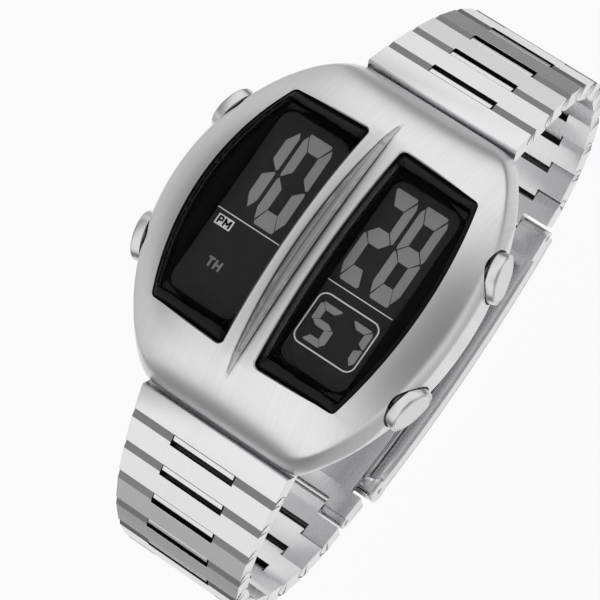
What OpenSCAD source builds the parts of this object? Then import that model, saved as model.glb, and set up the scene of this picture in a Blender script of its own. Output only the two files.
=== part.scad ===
// Digital wristwatch: an arched steel case with two display windows, four side
// pushers, an LCD module and a tapering link bracelet closed by a folding clasp.
// Millimetres. +Z points out of the dial and +Y to 12 o'clock. The origin is the
// middle of the case back's outer face, where the watch rests on the wrist.

/* [Case] */
// Width of the case across its middle, without the pushers
case_width = 40.6; // [39.8:0.1:43]
// Length of the case from lip to lip
case_length = 45.8; // [45.4:0.1:48]
// Height from the case back to the middle of the arched top
case_height = 13.8; // [13.5:0.1:15]
// Radius of the arch along the case
arch_radius = 45; // [42:0.5:52]
// Radius of the slight crown across the case
crown_radius = 122; // [100:1:200]
// Radius of the sides seen from above
side_radius = 38; // [36:0.5:42]
// Radius of the sloping bevel beside the windows, seen along its slope
bevel_radius = 34; // [32:0.2:40]
// Height of the case's underside above the case back's outer face
case_foot = 0.5; // [0.3:0.1:0.7]
// Height at which the sides start to turn under
turn_under_height = 4.6; // [4:0.1:5]
// Radius of the turned-under part of the sides seen from above
under_radius = 38; // [36:0.5:42]
// How far the sides turn under at the bottom
turn_under = 1.6; // [1:0.1:2.4]
// Height of the lip over the bracelet
lip_height = 1.68; // [1.5:0.02:1.8]
// Thickness of the steel between the case's side and the movement space
side_wall = 4.9; // [4.5:0.1:5.2]
// Half length of the movement space
movement_half_length = 15.2; // [15:0.1:15.6]
// Depth of the movement space's ceiling below the top of the arch
ceiling_depth = 5.8; // [5.7:0.05:5.9]

/* [Windows] */
// Radius of each window's outer edge seen from above
window_radius = 44.2; // [42:0.2:48]
// Distance from a window's outer edge to the case's side
window_margin = 4.4; // [4.3:0.1:5]
// Half width of the bar between the two windows
bar_half_width = 2.34; // [2.2:0.02:2.5]
// Half length of a window along the bar
window_half_length = 15.3; // [15:0.1:15.5]
// How much shorter a window is at its outer edge, on each end
window_slant = 0.5; // [0.2:0.1:0.8]
// Thickness of each window's crystal
crystal_thickness = 1.3; // [1.1:0.1:1.5]
// Width of the ledge that carries the crystal
ledge_width = 0.6; // [0.5:0.05:0.7]
// Thickness of the gasket under the crystal
crystal_gasket_thickness = 0.25; // [0.2:0.05:0.3]
// Height of the roof-shaped ridge along the bar
ridge_height = 0.3; // [0.2:0.05:0.5]
// Half width of the ridge at its middle
ridge_half_width = 0.86; // [0.7:0.02:1.2]
// Half length of the ridge, to its points
ridge_half_length = 18.15; // [17:0.05:18.4]

/* [Display] */
// Depth of the displays' face below the top of the arch
display_depth = 4.1; // [4:0.05:4.2]
// Thickness of each display
display_thickness = 1.6; // [1.4:0.1:1.65]
// How far each display lies nearer the bar than the middle of its window
display_shift = 0.97; // [0.9:0.01:1.05]
// How much narrower each display glass is than its window
display_margin = 4.06; // [3.96:0.1:4.4]
// Length of the display glass
display_length = 26.4; // [26:0.1:26.6]
// Width of each display glass's edge under the black mask
field_rim = 0.5; // [0.4:0.05:0.7]
// Length of the field seen inside the black mask
field_length = 25; // [24.4:0.1:25.2]
// Corner radius of the field
field_corner = 1.6; // [1:0.1:2]

/* [Module] */
// Thickness of the case back
back_thickness = 1.4; // [1.3:0.05:1.45]
// How far the case back's edge lies inside the case's side
back_inset = 3; // [2.9:0.1:3.2]
// Half length of the case back
back_half_length = 18.4; // [18.2:0.1:18.5]
// Thickness of the circuit board
board_thickness = 0.8; // [0.6:0.1:0.8]
// Thickness of the module frame
module_frame_thickness = 2.3; // [2.2:0.05:2.3]
// Diameter of the coin cell
cell_diameter = 20; // [19:0.5:20]
// Room for the buzzer and the clip between the case back and the coin cell
cell_room = 0.85; // [0.8:0.05:1]
// Distance of the coin cell's middle from the case's middle, towards 6 o'clock
cell_shift = 3.6; // [3.4:0.1:4]
// Thickness of the light panels behind the displays
light_panel_thickness = 0.4; // [0.3:0.05:0.5]
// Diameter of the buzzer disc
buzzer_diameter = 16; // [12:0.5:18]
// Radius of each case-back screw's head
screw_head_radius = 1; // [0.8:0.05:1.1]
// Radius of each case-back screw's shank
screw_radius = 0.5; // [0.4:0.05:0.6]

/* [Pushers] */
// Distance of each pusher from the 3 to 9 o'clock line
pusher_distance = 9.1; // [8.8:0.1:9.4]
// Depth of the pushers' axes below the top of the arch
pusher_depth = 7.17; // [7.1:0.01:7.2]
// Diameter of the round caps
pusher_cap_diameter = 6.2; // [5:0.1:6.4]
// Thickness of the caps
pusher_cap_thickness = 1.9; // [1.6:0.1:2.1]
// How far the caps stand out of the case
pusher_stand_out = 1.35; // [1.2:0.05:1.5]
// Travel of the pushers
pusher_travel = 0.8; // [0.5:0.05:0.9]
// Radius of the pushers' stems
stem_radius = 1; // [0.9:0.05:1.1]

/* [Bracelet] */
// Links on each side of the case
link_count = 12; // [12]
// Width of the bracelet at the case
bracelet_width = 22; // [21:0.1:22.2]
// Width of the bracelet at the clasp
clasp_end_width = 16; // [15:0.1:18]
// Links over which the bracelet tapers
taper_links = 8; // [6:1:12]
// Distance between the pins of neighbouring links
link_pitch = 4.4; // [4.3:0.05:4.6]
// Thickness of the links
link_thickness = 2.3; // [2.2:0.05:2.4]
// Half width of the tongue in the middle of each link
tongue_half_width = 4.5; // [4:0.1:5]
// Radius of the knuckles round the pins
knuckle_radius = 0.95; // [0.9:0.01:1]
// Radius of the link pins
pin_radius = 0.4; // [0.35:0.01:0.45]
// Gap seen between the outer faces of neighbouring links
face_gap = 1.05; // [1:0.05:1.2]
// Length of the outer face of the first link
first_face_length = 3.5; // [3.3:0.05:3.7]

/* [Clasp] */
// Radius of the clasp's curve, through its end pins
clasp_radius = 85; // [80:1:100]
// Thickness of the clasp's cover and blades
blade_thickness = 1; // [0.8:0.05:1]
// Width of the clasp's two blades
blade_width = 12.6; // [11:0.1:12.8]
// Distance of the cover's hinge from the middle of the clasp
cover_hinge_distance = 16.2; // [15.8:0.1:16.4]
// Distance of the blades' hinge from the middle of the clasp
blade_hinge_distance = 16.5; // [15:0.1:17]

/* [Hidden] */

$fn = 96;

// Clearances: a running fit, a seat and a plain gap between two pieces
running = 0.05;
seat = 0.05;
gap = 0.1;
// A cut reaches this far past a face
past = 1;
// Longer than any piece of the watch
far = 200;

// Sizes that follow from the case's
window_reach = case_width / 2 - window_margin;
display_offset = (window_reach + bar_half_width) / 2 - display_shift;
display_width = window_reach - bar_half_width - display_margin;
field_width = display_width - 2 * field_rim;
display_face_height = case_height - display_depth;
ceiling_height = case_height - ceiling_depth;
pusher_height = case_height - pusher_depth;

// The arch's centre, the lip's point and the roll that joins them
arch_centre = case_height - arch_radius;
case_half_length = case_length / 2;
lip_slope = 80;
lip_run = [sin(lip_slope), cos(lip_slope)];
lip_from_arch = [case_half_length, lip_height - arch_centre];
// The roll touches a circle this much wider than the arch, so it meets the arch at a clear edge
roll_lift = 0.03;
roll_touch = arch_radius + roll_lift;
roll_radius = (roll_touch * roll_touch - lip_from_arch * lip_from_arch)
    / (2 * (roll_touch - lip_from_arch * lip_run));
roll_centre = [case_half_length, lip_height] - roll_radius * lip_run;
roll_start = roll_centre[0] * roll_touch / (roll_touch - roll_radius);

// The sides' arcs are struck from this far beyond the middle line
side_centre = side_radius - case_width / 2;
corner_radius = norm([case_half_length, 12]) - 0.1;
// The bevel starts just outside the windows and falls at this angle
bevel_angle = 30.7;
bevel_margin = 0.1;
bevel_top = [window_reach + bevel_margin,
    case_height - pow(window_reach + bevel_margin, 2) / (2 * crown_radius)];
bevel_foot = [case_width / 2, bevel_top[1] - (case_width / 2 - bevel_top[0]) / tan(bevel_angle)];
// The rounded edge between the bevel and the upright side, as three leaning rounds
edge_rounding = 2.6;
edge_angles = [45, 60, 75];
edge_radii = [bevel_radius - 1.7, bevel_radius - 3.5, bevel_radius - 3.5];
under_slope = turn_under / (turn_under_height - case_foot);

// Windows, crystals and the roof-shaped ridge
window_centre = window_radius - window_reach;
crystal_gap = 0.06;
ledge_drop = crystal_thickness + crystal_gasket_thickness;
// The ridge falls along one circle over the arch and along another over the end roll
ridge_turn_height = arch_centre + sqrt(pow(arch_radius, 2) - pow(roll_start, 2))
    + ridge_height * (1 - pow(roll_start / ridge_half_length, 2));
ridge_drop = case_height + ridge_height - ridge_turn_height;
ridge_radius = (pow(roll_start, 2) + pow(ridge_drop, 2)) / (2 * ridge_drop);
ridge_turn_angle = asin((roll_start - roll_centre[0]) / roll_radius);
ridge_end_angle = asin((ridge_half_length - roll_centre[0]) / roll_radius);
ridge_shift = (ridge_height * (1 - pow(roll_start / ridge_half_length, 2)) + roll_lift)
    / sin(ridge_end_angle - ridge_turn_angle);

// Levels of the pieces inside the case
display_back_height = display_face_height - display_thickness;
frame_low = ceiling_height - module_frame_thickness;
board_high = frame_low - seat;
board_low = board_high - board_thickness;
cell_high = board_low - gap;
cell_low = back_thickness + cell_room;
cell_thickness = cell_high - cell_low;
clip_thickness = 0.25;
buzzer_thickness = 0.25;
holder_low = cell_low;
module_inset = side_wall + 0.3;
module_half_length = movement_half_length - 0.2;
mask_clearance = 0.1;
field_level = display_face_height + seat;
zebra_thickness = 1;
zebra_from_end = 0.7;
zebra_half_width = display_width / 2 - 0.75;
zebra_place = display_length / 2 - zebra_from_end - zebra_thickness / 2;
light_panel_length = 2 * (zebra_place - zebra_thickness / 2 - 0.4);
screw_place = [9.5, 17.1];
// Half width of a barrel shape with this inset, at a distance along it
function barrel_edge(inset, y) = sqrt(pow(side_radius - inset, 2) - y * y) - side_centre;
board_hole_radius = 0.8;
board_hole_place = [barrel_edge(module_inset, 12.6) - board_hole_radius - 0.2, 12.6];
gasket_width = 0.7;
gasket_depth = 0.5;
gasket_inset = side_wall - 0.4 - gasket_width;

// Pushers, measured from the centre of the side's arc
pusher_angle = asin(pusher_distance / side_radius);
cap_face = side_radius + pusher_stand_out;
cap_back = cap_face - pusher_cap_thickness;
pocket_floor = cap_back - pusher_travel - 0.25;
pocket_clearance = 0.2;
cavity_face = side_radius - side_wall;
spring_seat = pocket_floor - 1.5;
spring_pocket_radius = 1.75;
stem_end = cavity_face - 1;
clip_high = cavity_face - 0.1;
clip_thickness_stem = 0.3;
clip_radius = ceiling_height - pusher_height - seat;
clip_groove = 0.15;
seal_place = cavity_face + 0.8;
seal_wire = 0.35;
seal_groove_half = 0.4;
contact_face = stem_end - pusher_travel - 0.05;
contact_thickness = 0.2;
contact_height = 1.6;
contact_foot = 1.4;
contact_start = contact_face - contact_thickness - contact_foot;

// Springs round the stems
coil_wire = 0.15;
coil_radius = 1.4;
coil_turns = 4;
coil_rings = 8;
coil_sides = 6;

// Bracelet: bends between neighbouring pieces at rest, in degrees
bends = [33.4, 4.4, 5.2, 10, 13, 14, 15, 15, 15, 15, 14, 12];
function heading(n) = n == 0 ? 0 : heading(n - 1) + bends[n - 1];
// The first pin lies under the case's lip, and the first link's far pin
// is at this place along and above it
knuckle_inset = 1.8;
first_pin = [case_half_length - knuckle_inset, lip_height - 0.25];
first_face_start = 1.68;
first_face_drop = 1.93;
first_far_pin = [first_face_start + first_face_length + face_gap / 2, first_face_drop - link_thickness / 2];
function along(angle) = [cos(angle), -sin(angle)];
function across(angle) = [sin(angle), cos(angle)];
function pin_place(n) = n == 0 ? first_pin
    : n == 1 ? first_pin + first_far_pin[0] * along(heading(1)) + first_far_pin[1] * across(heading(1))
    : pin_place(n - 1) + link_pitch * along(heading(n));
taper = (bracelet_width - clasp_end_width) / 2 / taper_links;
function half_width(n) = max(clasp_end_width / 2, bracelet_width / 2 - taper * n);

// Link profile, along the link from its own pin
half_thick = link_thickness / 2;
face_start = face_gap / 2;
face_end = link_pitch - face_gap / 2;
relief_radius = knuckle_radius + 0.17;
last_relief = knuckle_radius + 0.4;
notch_depth = knuckle_radius + 0.2;
notch_half_width = tongue_half_width + 0.15;
foot_start = face_start + 0.1;
foot_end = face_end - 0.25;
pin_hole = pin_radius + 0.01;
pin_run = pin_radius + running;
pin_short = 0.3;

// Clasp, curved about a centre above it
clasp_pin = pin_place(link_count);
clasp_centre = clasp_pin[1] + sqrt(pow(clasp_radius, 2) - pow(clasp_pin[0], 2));
clasp_end_angle = asin(clasp_pin[0] / clasp_radius);
leaf_gap = 0.3;
hinge_knuckle = 0.95;
cover_inner = clasp_radius + 1.2;
middle_inner = cover_inner - leaf_gap - blade_thickness;
inner_inner = middle_inner - leaf_gap - blade_thickness;
cover_hinge_radius = middle_inner + hinge_knuckle + seat;
blade_hinge_radius = middle_inner - leaf_gap / 2;
cover_ear_radius = 1.7;
cover_half_width = 8.6;
flange_thickness = 0.9;
flange_inner = cover_half_width - flange_thickness;
end_block_length = 3.4;

// A shape between the two side arcs, moved in by inset
module barrel(inset, half_length, low, high) {
    intersection() {
        translate([-side_centre, 0, low])
            cylinder(r = side_radius - inset, h = high - low);
        translate([side_centre, 0, low])
            cylinder(r = side_radius - inset, h = high - low);
        translate([-far / 2, -half_length, low])
            cube([far, 2 * half_length, high - low]);
    }
}

// Everything below the arched and crowned top, lowered by drop
module under_arch(drop) {
    translate([0, 0, arch_centre])
        rotate([0, 90, 0])
            rotate_extrude($fn = 180)
                intersection() {
                    translate([arch_radius - crown_radius, 0])
                        circle(r = crown_radius - drop, $fn = 180);
                    translate([0, -case_width])
                        square([arch_radius + past, 2 * case_width]);
                }
}

// The case seen from its side, in length and height
module side_view() {
    translate([-roll_start, case_foot])
        square([2 * roll_start, case_height + past]);
    for (s = [-1, 1])
        scale([s, 1])
            intersection() {
                union() {
                    translate(roll_centre)
                        circle(r = roll_radius, $fn = 180);
                    translate([0, case_foot - past])
                        square([case_half_length, roll_centre[1] - case_foot + past]);
                }
                translate([0, case_foot])
                    square([case_half_length, case_height]);
            }
}

// One leaning round of the case's side: its angle, reach and radius
module leaning_round(angle, reach, radius) {
    rotate([0, 90 + angle, 0])
        translate([radius - reach, 0, 0])
            cylinder(r = radius, h = far, center = true, $fn = 180);
}

// Reach of a rounded edge between the bevel and the upright side
function edge_reach(angle) =
    let (inner = edge_rounding * tan((90 - bevel_angle) / 2),
        middle = [bevel_foot[0] - edge_rounding, bevel_foot[1] - inner])
    middle[0] * sin(angle) + middle[1] * cos(angle) + edge_rounding;

// What bounds the case on its right side: the bevel, its rounded edge and the turned-under part
module case_side() {
    intersection() {
        leaning_round(bevel_angle,
            bevel_top[0] * sin(bevel_angle) + bevel_top[1] * cos(bevel_angle), bevel_radius);
        leaning_round(edge_angles[0], edge_reach(edge_angles[0]), edge_radii[0]);
        leaning_round(edge_angles[1], edge_reach(edge_angles[1]), edge_radii[1]);
        leaning_round(edge_angles[2], edge_reach(edge_angles[2]), edge_radii[2]);
        translate([case_width / 2 - under_radius, 0, 0])
            cylinder(r1 = under_radius - turn_under_height * under_slope,
                r2 = under_radius + (case_height - turn_under_height) * under_slope, h = case_height);
    }
}

module case_outside() {
    intersection() {
        rotate([90, 0, 90])
            linear_extrude(height = case_width + past, center = true)
                side_view();
        under_arch(0);
        barrel(0, case_half_length, 0, case_height);
        cylinder(r = corner_radius, h = case_height);
        case_side();
        mirror([1, 0, 0])
            case_side();
    }
}

// A window's outline moved in by inset, cut straight down
module window_prism(inset, low, high) {
    translate([0, 0, low])
        linear_extrude(height = high - low)
            intersection() {
                translate([-window_centre, 0])
                    circle(r = window_radius - inset, $fn = 180);
                polygon([
                    [bar_half_width + inset, -window_half_length + inset],
                    [window_reach + past, -window_half_length + window_slant * 1.2 + inset],
                    [window_reach + past, window_half_length - window_slant * 1.2 - inset],
                    [bar_half_width + inset, window_half_length - inset]
                ]);
            }
}

// A rounded rectangle in the middle of a display
module field_prism(width, length, corner, low, high) {
    translate([display_offset, 0, low])
        linear_extrude(height = high - low)
            union() {
                square([width - 2 * corner, length], center = true);
                square([width, length - 2 * corner], center = true);
                for (x = [-1, 1], y = [-1, 1])
                    translate([x * (width / 2 - corner), y * (length / 2 - corner)])
                        circle(r = corner, $fn = 48);
            }
}

module display_box(width, length, low, high) {
    translate([display_offset - width / 2, -length / 2, low])
        cube([width, length, high - low]);
}

module both_sides() {
    for (s = [0, 1])
        mirror([s, 0, 0])
            children();
}

// Puts a shape drawn along +X from the side arc's centre on one pusher's axis
module at_pusher(right, upper) {
    mirror([right ? 0 : 1, 0, 0])
        translate([-side_centre, 0, pusher_height])
            rotate([0, 0, upper ? pusher_angle : -pusher_angle])
                children();
}

module at_all_pushers() {
    for (right = [true, false], upper = [true, false])
        at_pusher(right, upper)
            children();
}

// A round bar on a pusher's axis, between two distances from the arc's centre
module axis_round(radius, from, to) {
    translate([from, 0, 0])
        rotate([0, 90, 0])
            cylinder(r = radius, h = to - from);
}

module axis_ring(outer, inner, from, to) {
    difference() {
        axis_round(outer, from, to);
        axis_round(inner, from - past, to + past);
    }
}

// Room for a pusher's inner end, from a distance from the arc's centre outwards
module pusher_room(from) {
    translate([from, -2.4, -2.2])
        cube([cavity_face + past - from, 4.8, 4.4]);
}

// A roof-shaped rim turned about an axis across the case
module roof_wheel(radius) {
    rotate([0, 90, 0])
        rotate_extrude($fn = 180)
            polygon([
                [0, -ridge_half_width * 2],
                [radius - 2 * ridge_height, -ridge_half_width * 2],
                [radius, 0],
                [radius - 2 * ridge_height, ridge_half_width * 2],
                [0, ridge_half_width * 2]
            ]);
}

// The roof-shaped ridge that runs to a point at each end
module ridge() {
    intersection() {
        translate([0, 0, case_height + ridge_height - ridge_radius])
            roof_wheel(ridge_radius);
        union() {
            translate([-bar_half_width, -roll_start, ceiling_height])
                cube([2 * bar_half_width, 2 * roll_start, case_height]);
            for (s = [-1, 1])
                translate([0, s * (roll_centre[0] - ridge_shift * cos(ridge_end_angle)),
                    roll_centre[1] + ridge_shift * sin(ridge_end_angle)])
                    roof_wheel(roll_radius);
        }
        translate([-bar_half_width, -case_half_length, ceiling_height])
            cube([2 * bar_half_width, case_length, case_height]);
    }
}

module lug_pocket() {
    for (s = [0, 1])
        mirror([0, s, 0])
            translate([0, first_pin[0], first_pin[1]]) {
                rotate([0, 90, 0])
                    cylinder(r = knuckle_radius + 0.3, h = bracelet_width + 0.3, center = true);
                translate([-bracelet_width / 2 - 0.15, 0, -first_pin[1] - past])
                    cube([bracelet_width + 0.3, knuckle_inset + past, lip_height + past]);
                translate([-bracelet_width / 2 - 0.15, -knuckle_radius - 0.3, -first_pin[1] - past])
                    cube([bracelet_width + 0.3, knuckle_radius + 0.3 + past, first_pin[1] + past]);
                rotate([0, 90, 0])
                    cylinder(r = pin_radius + running, h = bracelet_width + 2, center = true, $fn = 48);
            }
}

module case() {
    color("silver")
        difference() {
            union() {
                case_outside();
                ridge();
            }
            both_sides()
                difference() {
                    window_prism(0, ceiling_height, case_height + past);
                    under_arch(ledge_drop);
                }
            both_sides()
                window_prism(ledge_width, ceiling_height - past, case_height + past);
            barrel(side_wall, movement_half_length, -past, ceiling_height);
            barrel(back_inset - seat, back_half_length + seat, -past, back_thickness);
            difference() {
                barrel(gasket_inset, movement_half_length + 0.4 + gasket_width, 0, back_thickness + gasket_depth);
                barrel(gasket_inset + gasket_width, movement_half_length + 0.4,
                    -past, back_thickness + gasket_depth + past);
            }
            at_all_pushers() {
                axis_round(pusher_cap_diameter / 2 + pocket_clearance, pocket_floor, side_radius + 5);
                axis_round(spring_pocket_radius, spring_seat, pocket_floor + past);
                axis_round(stem_radius + running, cavity_face - past, spring_seat + past);
                axis_round(stem_radius + 2 * seal_wire + 0.08,
                    seal_place - seal_groove_half, seal_place + seal_groove_half);
            }
            for (x = [-1, 1], y = [-1, 1])
                translate([x * screw_place[0], y * screw_place[1], back_thickness - past])
                    cylinder(r = screw_radius + 0.02, h = 3 + past, $fn = 48);
            lug_pocket();
        }
}

module crystal() {
    color([0.08, 0.08, 0.09, 0.6])
        difference() {
            intersection() {
                window_prism(crystal_gap, ceiling_height, case_height + past);
                under_arch(0);
            }
            under_arch(crystal_thickness);
        }
}

module crystal_left() {
    mirror([1, 0, 0])
        crystal();
}

module crystal_right() {
    crystal();
}

module crystal_gaskets() {
    color("dimgray")
        both_sides()
            difference() {
                intersection() {
                    window_prism(crystal_gap, ceiling_height, case_height);
                    under_arch(crystal_thickness);
                }
                under_arch(ledge_drop);
                window_prism(ledge_width, 0, case_height + past);
            }
}

module display_mask() {
    color("black")
        both_sides()
            difference() {
                intersection() {
                    window_prism(ledge_width + mask_clearance, display_back_height, case_height);
                    under_arch(ledge_drop);
                }
                field_prism(field_width, field_length, field_corner, 0, case_height);
                display_box(display_width + 2 * seat, display_length + 2 * seat, 0, field_level);
            }
}

module lcd() {
    color([0.16, 0.16, 0.17])
        display_box(display_width, display_length, display_back_height, display_face_height);
}

module lcd_left() {
    mirror([1, 0, 0])
        lcd();
}

module lcd_right() {
    lcd();
}

module light_panels() {
    color("lightcyan")
        both_sides()
            display_box(display_width - 0.6, light_panel_length,
                ceiling_height - light_panel_thickness, ceiling_height);
}

// One pair of elastic strips, grown by room on every side
module zebra_pair(room) {
    for (s = [-1, 1])
        translate([display_offset, s * zebra_place, 0])
            translate([-zebra_half_width - room, -zebra_thickness / 2 - room, board_high])
                cube([2 * (zebra_half_width + room), zebra_thickness + 2 * room,
                    display_back_height - board_high]);
}

module zebra_connectors() {
    color("khaki")
        both_sides()
            zebra_pair(0);
}

module module_frame() {
    color("ivory")
        difference() {
            barrel(module_inset, module_half_length, frame_low, ceiling_height);
            both_sides() {
                zebra_pair(gap);
                display_box(display_width - 0.6 + gap, light_panel_length + gap,
                    ceiling_height - light_panel_thickness, ceiling_height + past);
            }
            at_all_pushers()
                pusher_room(contact_start - gap);
            translate([0, 0, frame_low - past])
                cylinder(r = 1.5, h = past + module_frame_thickness / 2);
        }
}

module circuit_board() {
    color("darkgreen")
        difference() {
            barrel(module_inset, module_half_length, board_low, board_high);
            at_all_pushers()
                pusher_room(stem_end - 1.4);
            for (s = [-1, 1])
                translate([s * board_hole_place[0], board_hole_place[1], board_low - past])
                    cylinder(r = board_hole_radius, h = board_thickness + 2 * past);
        }
}

module board_parts() {
    color("black") {
        translate([-6.2, 8.4, board_low - 1.3])
            cube([5.4, 4.6, 1.3]);
        translate([1.6, 9, board_low - 0.8])
            cube([1.6, 3.2, 0.8]);
    }
    color("silver")
        translate([5.4, 8.2, board_low - 1.1])
            rotate([-90, 0, 0])
                cylinder(r = 1, h = 5.4);
}

module switch_contacts() {
    color("gold")
        at_all_pushers() {
            translate([contact_face - contact_thickness, -1, board_high - pusher_height])
                cube([contact_thickness, 2, contact_height]);
            translate([contact_start, -1, board_high - pusher_height])
                cube([contact_foot + contact_thickness, 2, contact_thickness]);
        }
}

module cell_holder() {
    color("dimgray")
        difference() {
            barrel(module_inset, module_half_length, holder_low, board_low - seat);
            translate([0, -cell_shift, 0])
                cylinder(r = cell_diameter / 2 + gap, h = case_height);
            translate([-7.2, 7.4, 0])
                cube([14.4, 6.6, case_height]);
        }
}

module coin_cell() {
    color("gainsboro")
        translate([0, -cell_shift, 0]) {
            translate([0, 0, cell_low + 0.3])
                cylinder(r = cell_diameter / 2, h = cell_thickness - 0.3);
            translate([0, 0, cell_low])
                cylinder(r = cell_diameter / 2 - 1.2, h = 0.3);
        }
}

module cell_clip() {
    color("silver")
        difference() {
            union() {
                translate([-3, -14.6, cell_low - clip_thickness])
                    cube([6, 21.6, clip_thickness]);
                translate([-12, 4.2, cell_low - clip_thickness])
                    cube([24, 2.8, clip_thickness]);
            }
            translate([0, -cell_shift, 0])
                cylinder(r = 1.6, h = case_height);
        }
}

module buzzer_disc() {
    color("goldenrod")
        translate([0, -cell_shift, back_thickness])
            cylinder(r = buzzer_diameter / 2, h = buzzer_thickness);
}

module case_back() {
    color("silver")
        difference() {
            barrel(back_inset, back_half_length, 0, back_thickness);
            for (x = [-1, 1], y = [-1, 1])
                translate([x * screw_place[0], y * screw_place[1], 0]) {
                    translate([0, 0, -past])
                        cylinder(r = screw_radius + gap, h = back_thickness + 2 * past, $fn = 48);
                    translate([0, 0, -past])
                        cylinder(r = screw_head_radius + gap, h = past + 0.75, $fn = 48);
                }
        }
}

module case_back_gasket() {
    color("black")
        difference() {
            barrel(gasket_inset + seat, movement_half_length + 0.4 + gasket_width - seat,
                back_thickness, back_thickness + gasket_depth - seat);
            barrel(gasket_inset + gasket_width - seat, movement_half_length + 0.4 + seat,
                -past, back_thickness + gasket_depth + past);
        }
}

module case_back_screws() {
    color("gray")
        for (x = [-1, 1], y = [-1, 1])
            translate([x * screw_place[0], y * screw_place[1], 0])
                difference() {
                    union() {
                        translate([0, 0, 0.15])
                            cylinder(r = screw_head_radius, h = 0.6, $fn = 48);
                        translate([0, 0, 0.15])
                            cylinder(r = screw_radius, h = back_thickness + 2.4, $fn = 48);
                    }
                    translate([-screw_head_radius - past, -0.14, 0.15 - past])
                        cube([2 * screw_head_radius + 2 * past, 0.28, past + 0.25]);
                }
}

// A round cap on a grooved stem, and the clip that holds it in the case
module pusher(right, upper) {
    color("silver")
        at_pusher(right, upper) {
            difference() {
                union() {
                    axis_round(pusher_cap_diameter / 2, cap_back, cap_face - 0.3);
                    translate([cap_face - 0.3, 0, 0])
                        rotate([0, 90, 0])
                            cylinder(r1 = pusher_cap_diameter / 2, r2 = pusher_cap_diameter / 2 - 0.3, h = 0.3);
                    axis_round(stem_radius, stem_end, cap_back);
                }
                axis_ring(stem_radius + past, stem_radius - clip_groove,
                    clip_high - clip_thickness_stem - 0.03, clip_high + 0.03);
            }
            axis_ring(clip_radius, stem_radius - clip_groove + 0.02, clip_high - clip_thickness_stem, clip_high);
        }
}

// Points round one section of the coil, and the section's place
function coil_ring_point(ring, side) =
    let (turn = 360 * ring / coil_rings,
        length = cap_back - spring_seat - 2 * coil_wire - 0.1,
        place = spring_seat + coil_wire + 0.05 + length * ring / (coil_turns * coil_rings),
        round_angle = 360 * side / coil_sides,
        radius = coil_radius + coil_wire * cos(round_angle))
    [place + coil_wire * sin(round_angle), radius * cos(turn), radius * sin(turn)];

module spring(right, upper) {
    rings = coil_turns * coil_rings;
    points = [for (ring = [0:rings], side = [0:coil_sides - 1]) coil_ring_point(ring, side)];
    walls = [for (ring = [0:rings - 1], side = [0:coil_sides - 1])
        let (next = (side + 1) % coil_sides, base = ring * coil_sides)
        each [[base + side, base + coil_sides + side, base + coil_sides + next],
            [base + side, base + coil_sides + next, base + next]]];
    ends = [[for (side = [0:coil_sides - 1]) side],
        [for (side = [coil_sides - 1:-1:0]) rings * coil_sides + side]];
    color("silver")
        at_pusher(right, upper)
            polyhedron(points = points, faces = concat(walls, ends));
}

module pusher_seals() {
    color("black")
        at_all_pushers()
            translate([seal_place, 0, 0])
                rotate([0, 90, 0])
                    rotate_extrude($fn = 64)
                        translate([stem_radius + seal_wire + 0.03, 0])
                            circle(r = seal_wire, $fn = 32);
}

module spring_bars() {
    color("gray")
        for (s = [-1, 1])
            translate([0, s * first_pin[0], first_pin[1]])
                rotate([0, 90, 0])
                    cylinder(r = pin_radius, h = bracelet_width + 1.8, center = true, $fn = 48);
}

// Puts a shape drawn along +X, with +Y as its outer side, at a link's own pin
module at_link(n) {
    translate([0, pin_place(n - 1)[0], pin_place(n - 1)[1]])
        rotate([-heading(n), 0, 0])
            rotate([90, 0, 90])
                children();
}

// A bar across the bracelet with the given side outline
module across_bar(half_width_here) {
    translate([0, 0, -half_width_here])
        linear_extrude(height = 2 * half_width_here)
            children();
}

module near_outline() {
    circle(r = knuckle_radius, $fn = 48);
    polygon([[0, -knuckle_radius], [0, knuckle_radius], [face_start, half_thick],
        [face_end - 1, half_thick], [face_end - 1, -half_thick], [foot_start, -half_thick]]);
}

module far_outline(last) {
    difference() {
        polygon([[face_start + 0.6, -half_thick], [face_start + 0.6, half_thick],
            [face_end, half_thick], [face_end, 0], [foot_end, -half_thick]]);
        translate([link_pitch, 0])
            circle(r = relief_radius, $fn = 48);
        if (last)
            translate([link_pitch - last_relief, -link_thickness])
                square([link_pitch, 2 * link_thickness]);
    }
}

module tongue_outline() {
    translate([link_pitch, 0])
        circle(r = knuckle_radius, $fn = 48);
    polygon([[notch_depth + 0.5, -half_thick], [notch_depth + 0.5, half_thick], [face_end, half_thick],
        [link_pitch, knuckle_radius], [link_pitch, -knuckle_radius], [foot_end, -half_thick]]);
}

// The far end that every link has: two relieved sides and a bored tongue
module link_far_end(wide, last) {
    difference() {
        union() {
            across_bar(wide)
                far_outline(last);
            across_bar(tongue_half_width)
                tongue_outline();
        }
        translate([link_pitch, 0, -wide - past])
            cylinder(r = pin_run, h = 2 * wide + 2 * past, $fn = 48);
    }
}

// Narrows a link evenly from its near end to its far end
module tapered(n, reach) {
    intersection() {
        children();
        rotate([90, 0, 0])
            linear_extrude(height = 20, center = true)
                polygon([
                    [-2, half_width(n - 1) + taper_of(n) * 2 / link_pitch],
                    [reach + 2, half_width(n) - taper_of(n) * 2 / link_pitch],
                    [reach + 2, -half_width(n) + taper_of(n) * 2 / link_pitch],
                    [-2, -half_width(n - 1) - taper_of(n) * 2 / link_pitch]
                ]);
    }
}

function taper_of(n) = half_width(n - 1) - half_width(n);

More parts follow.
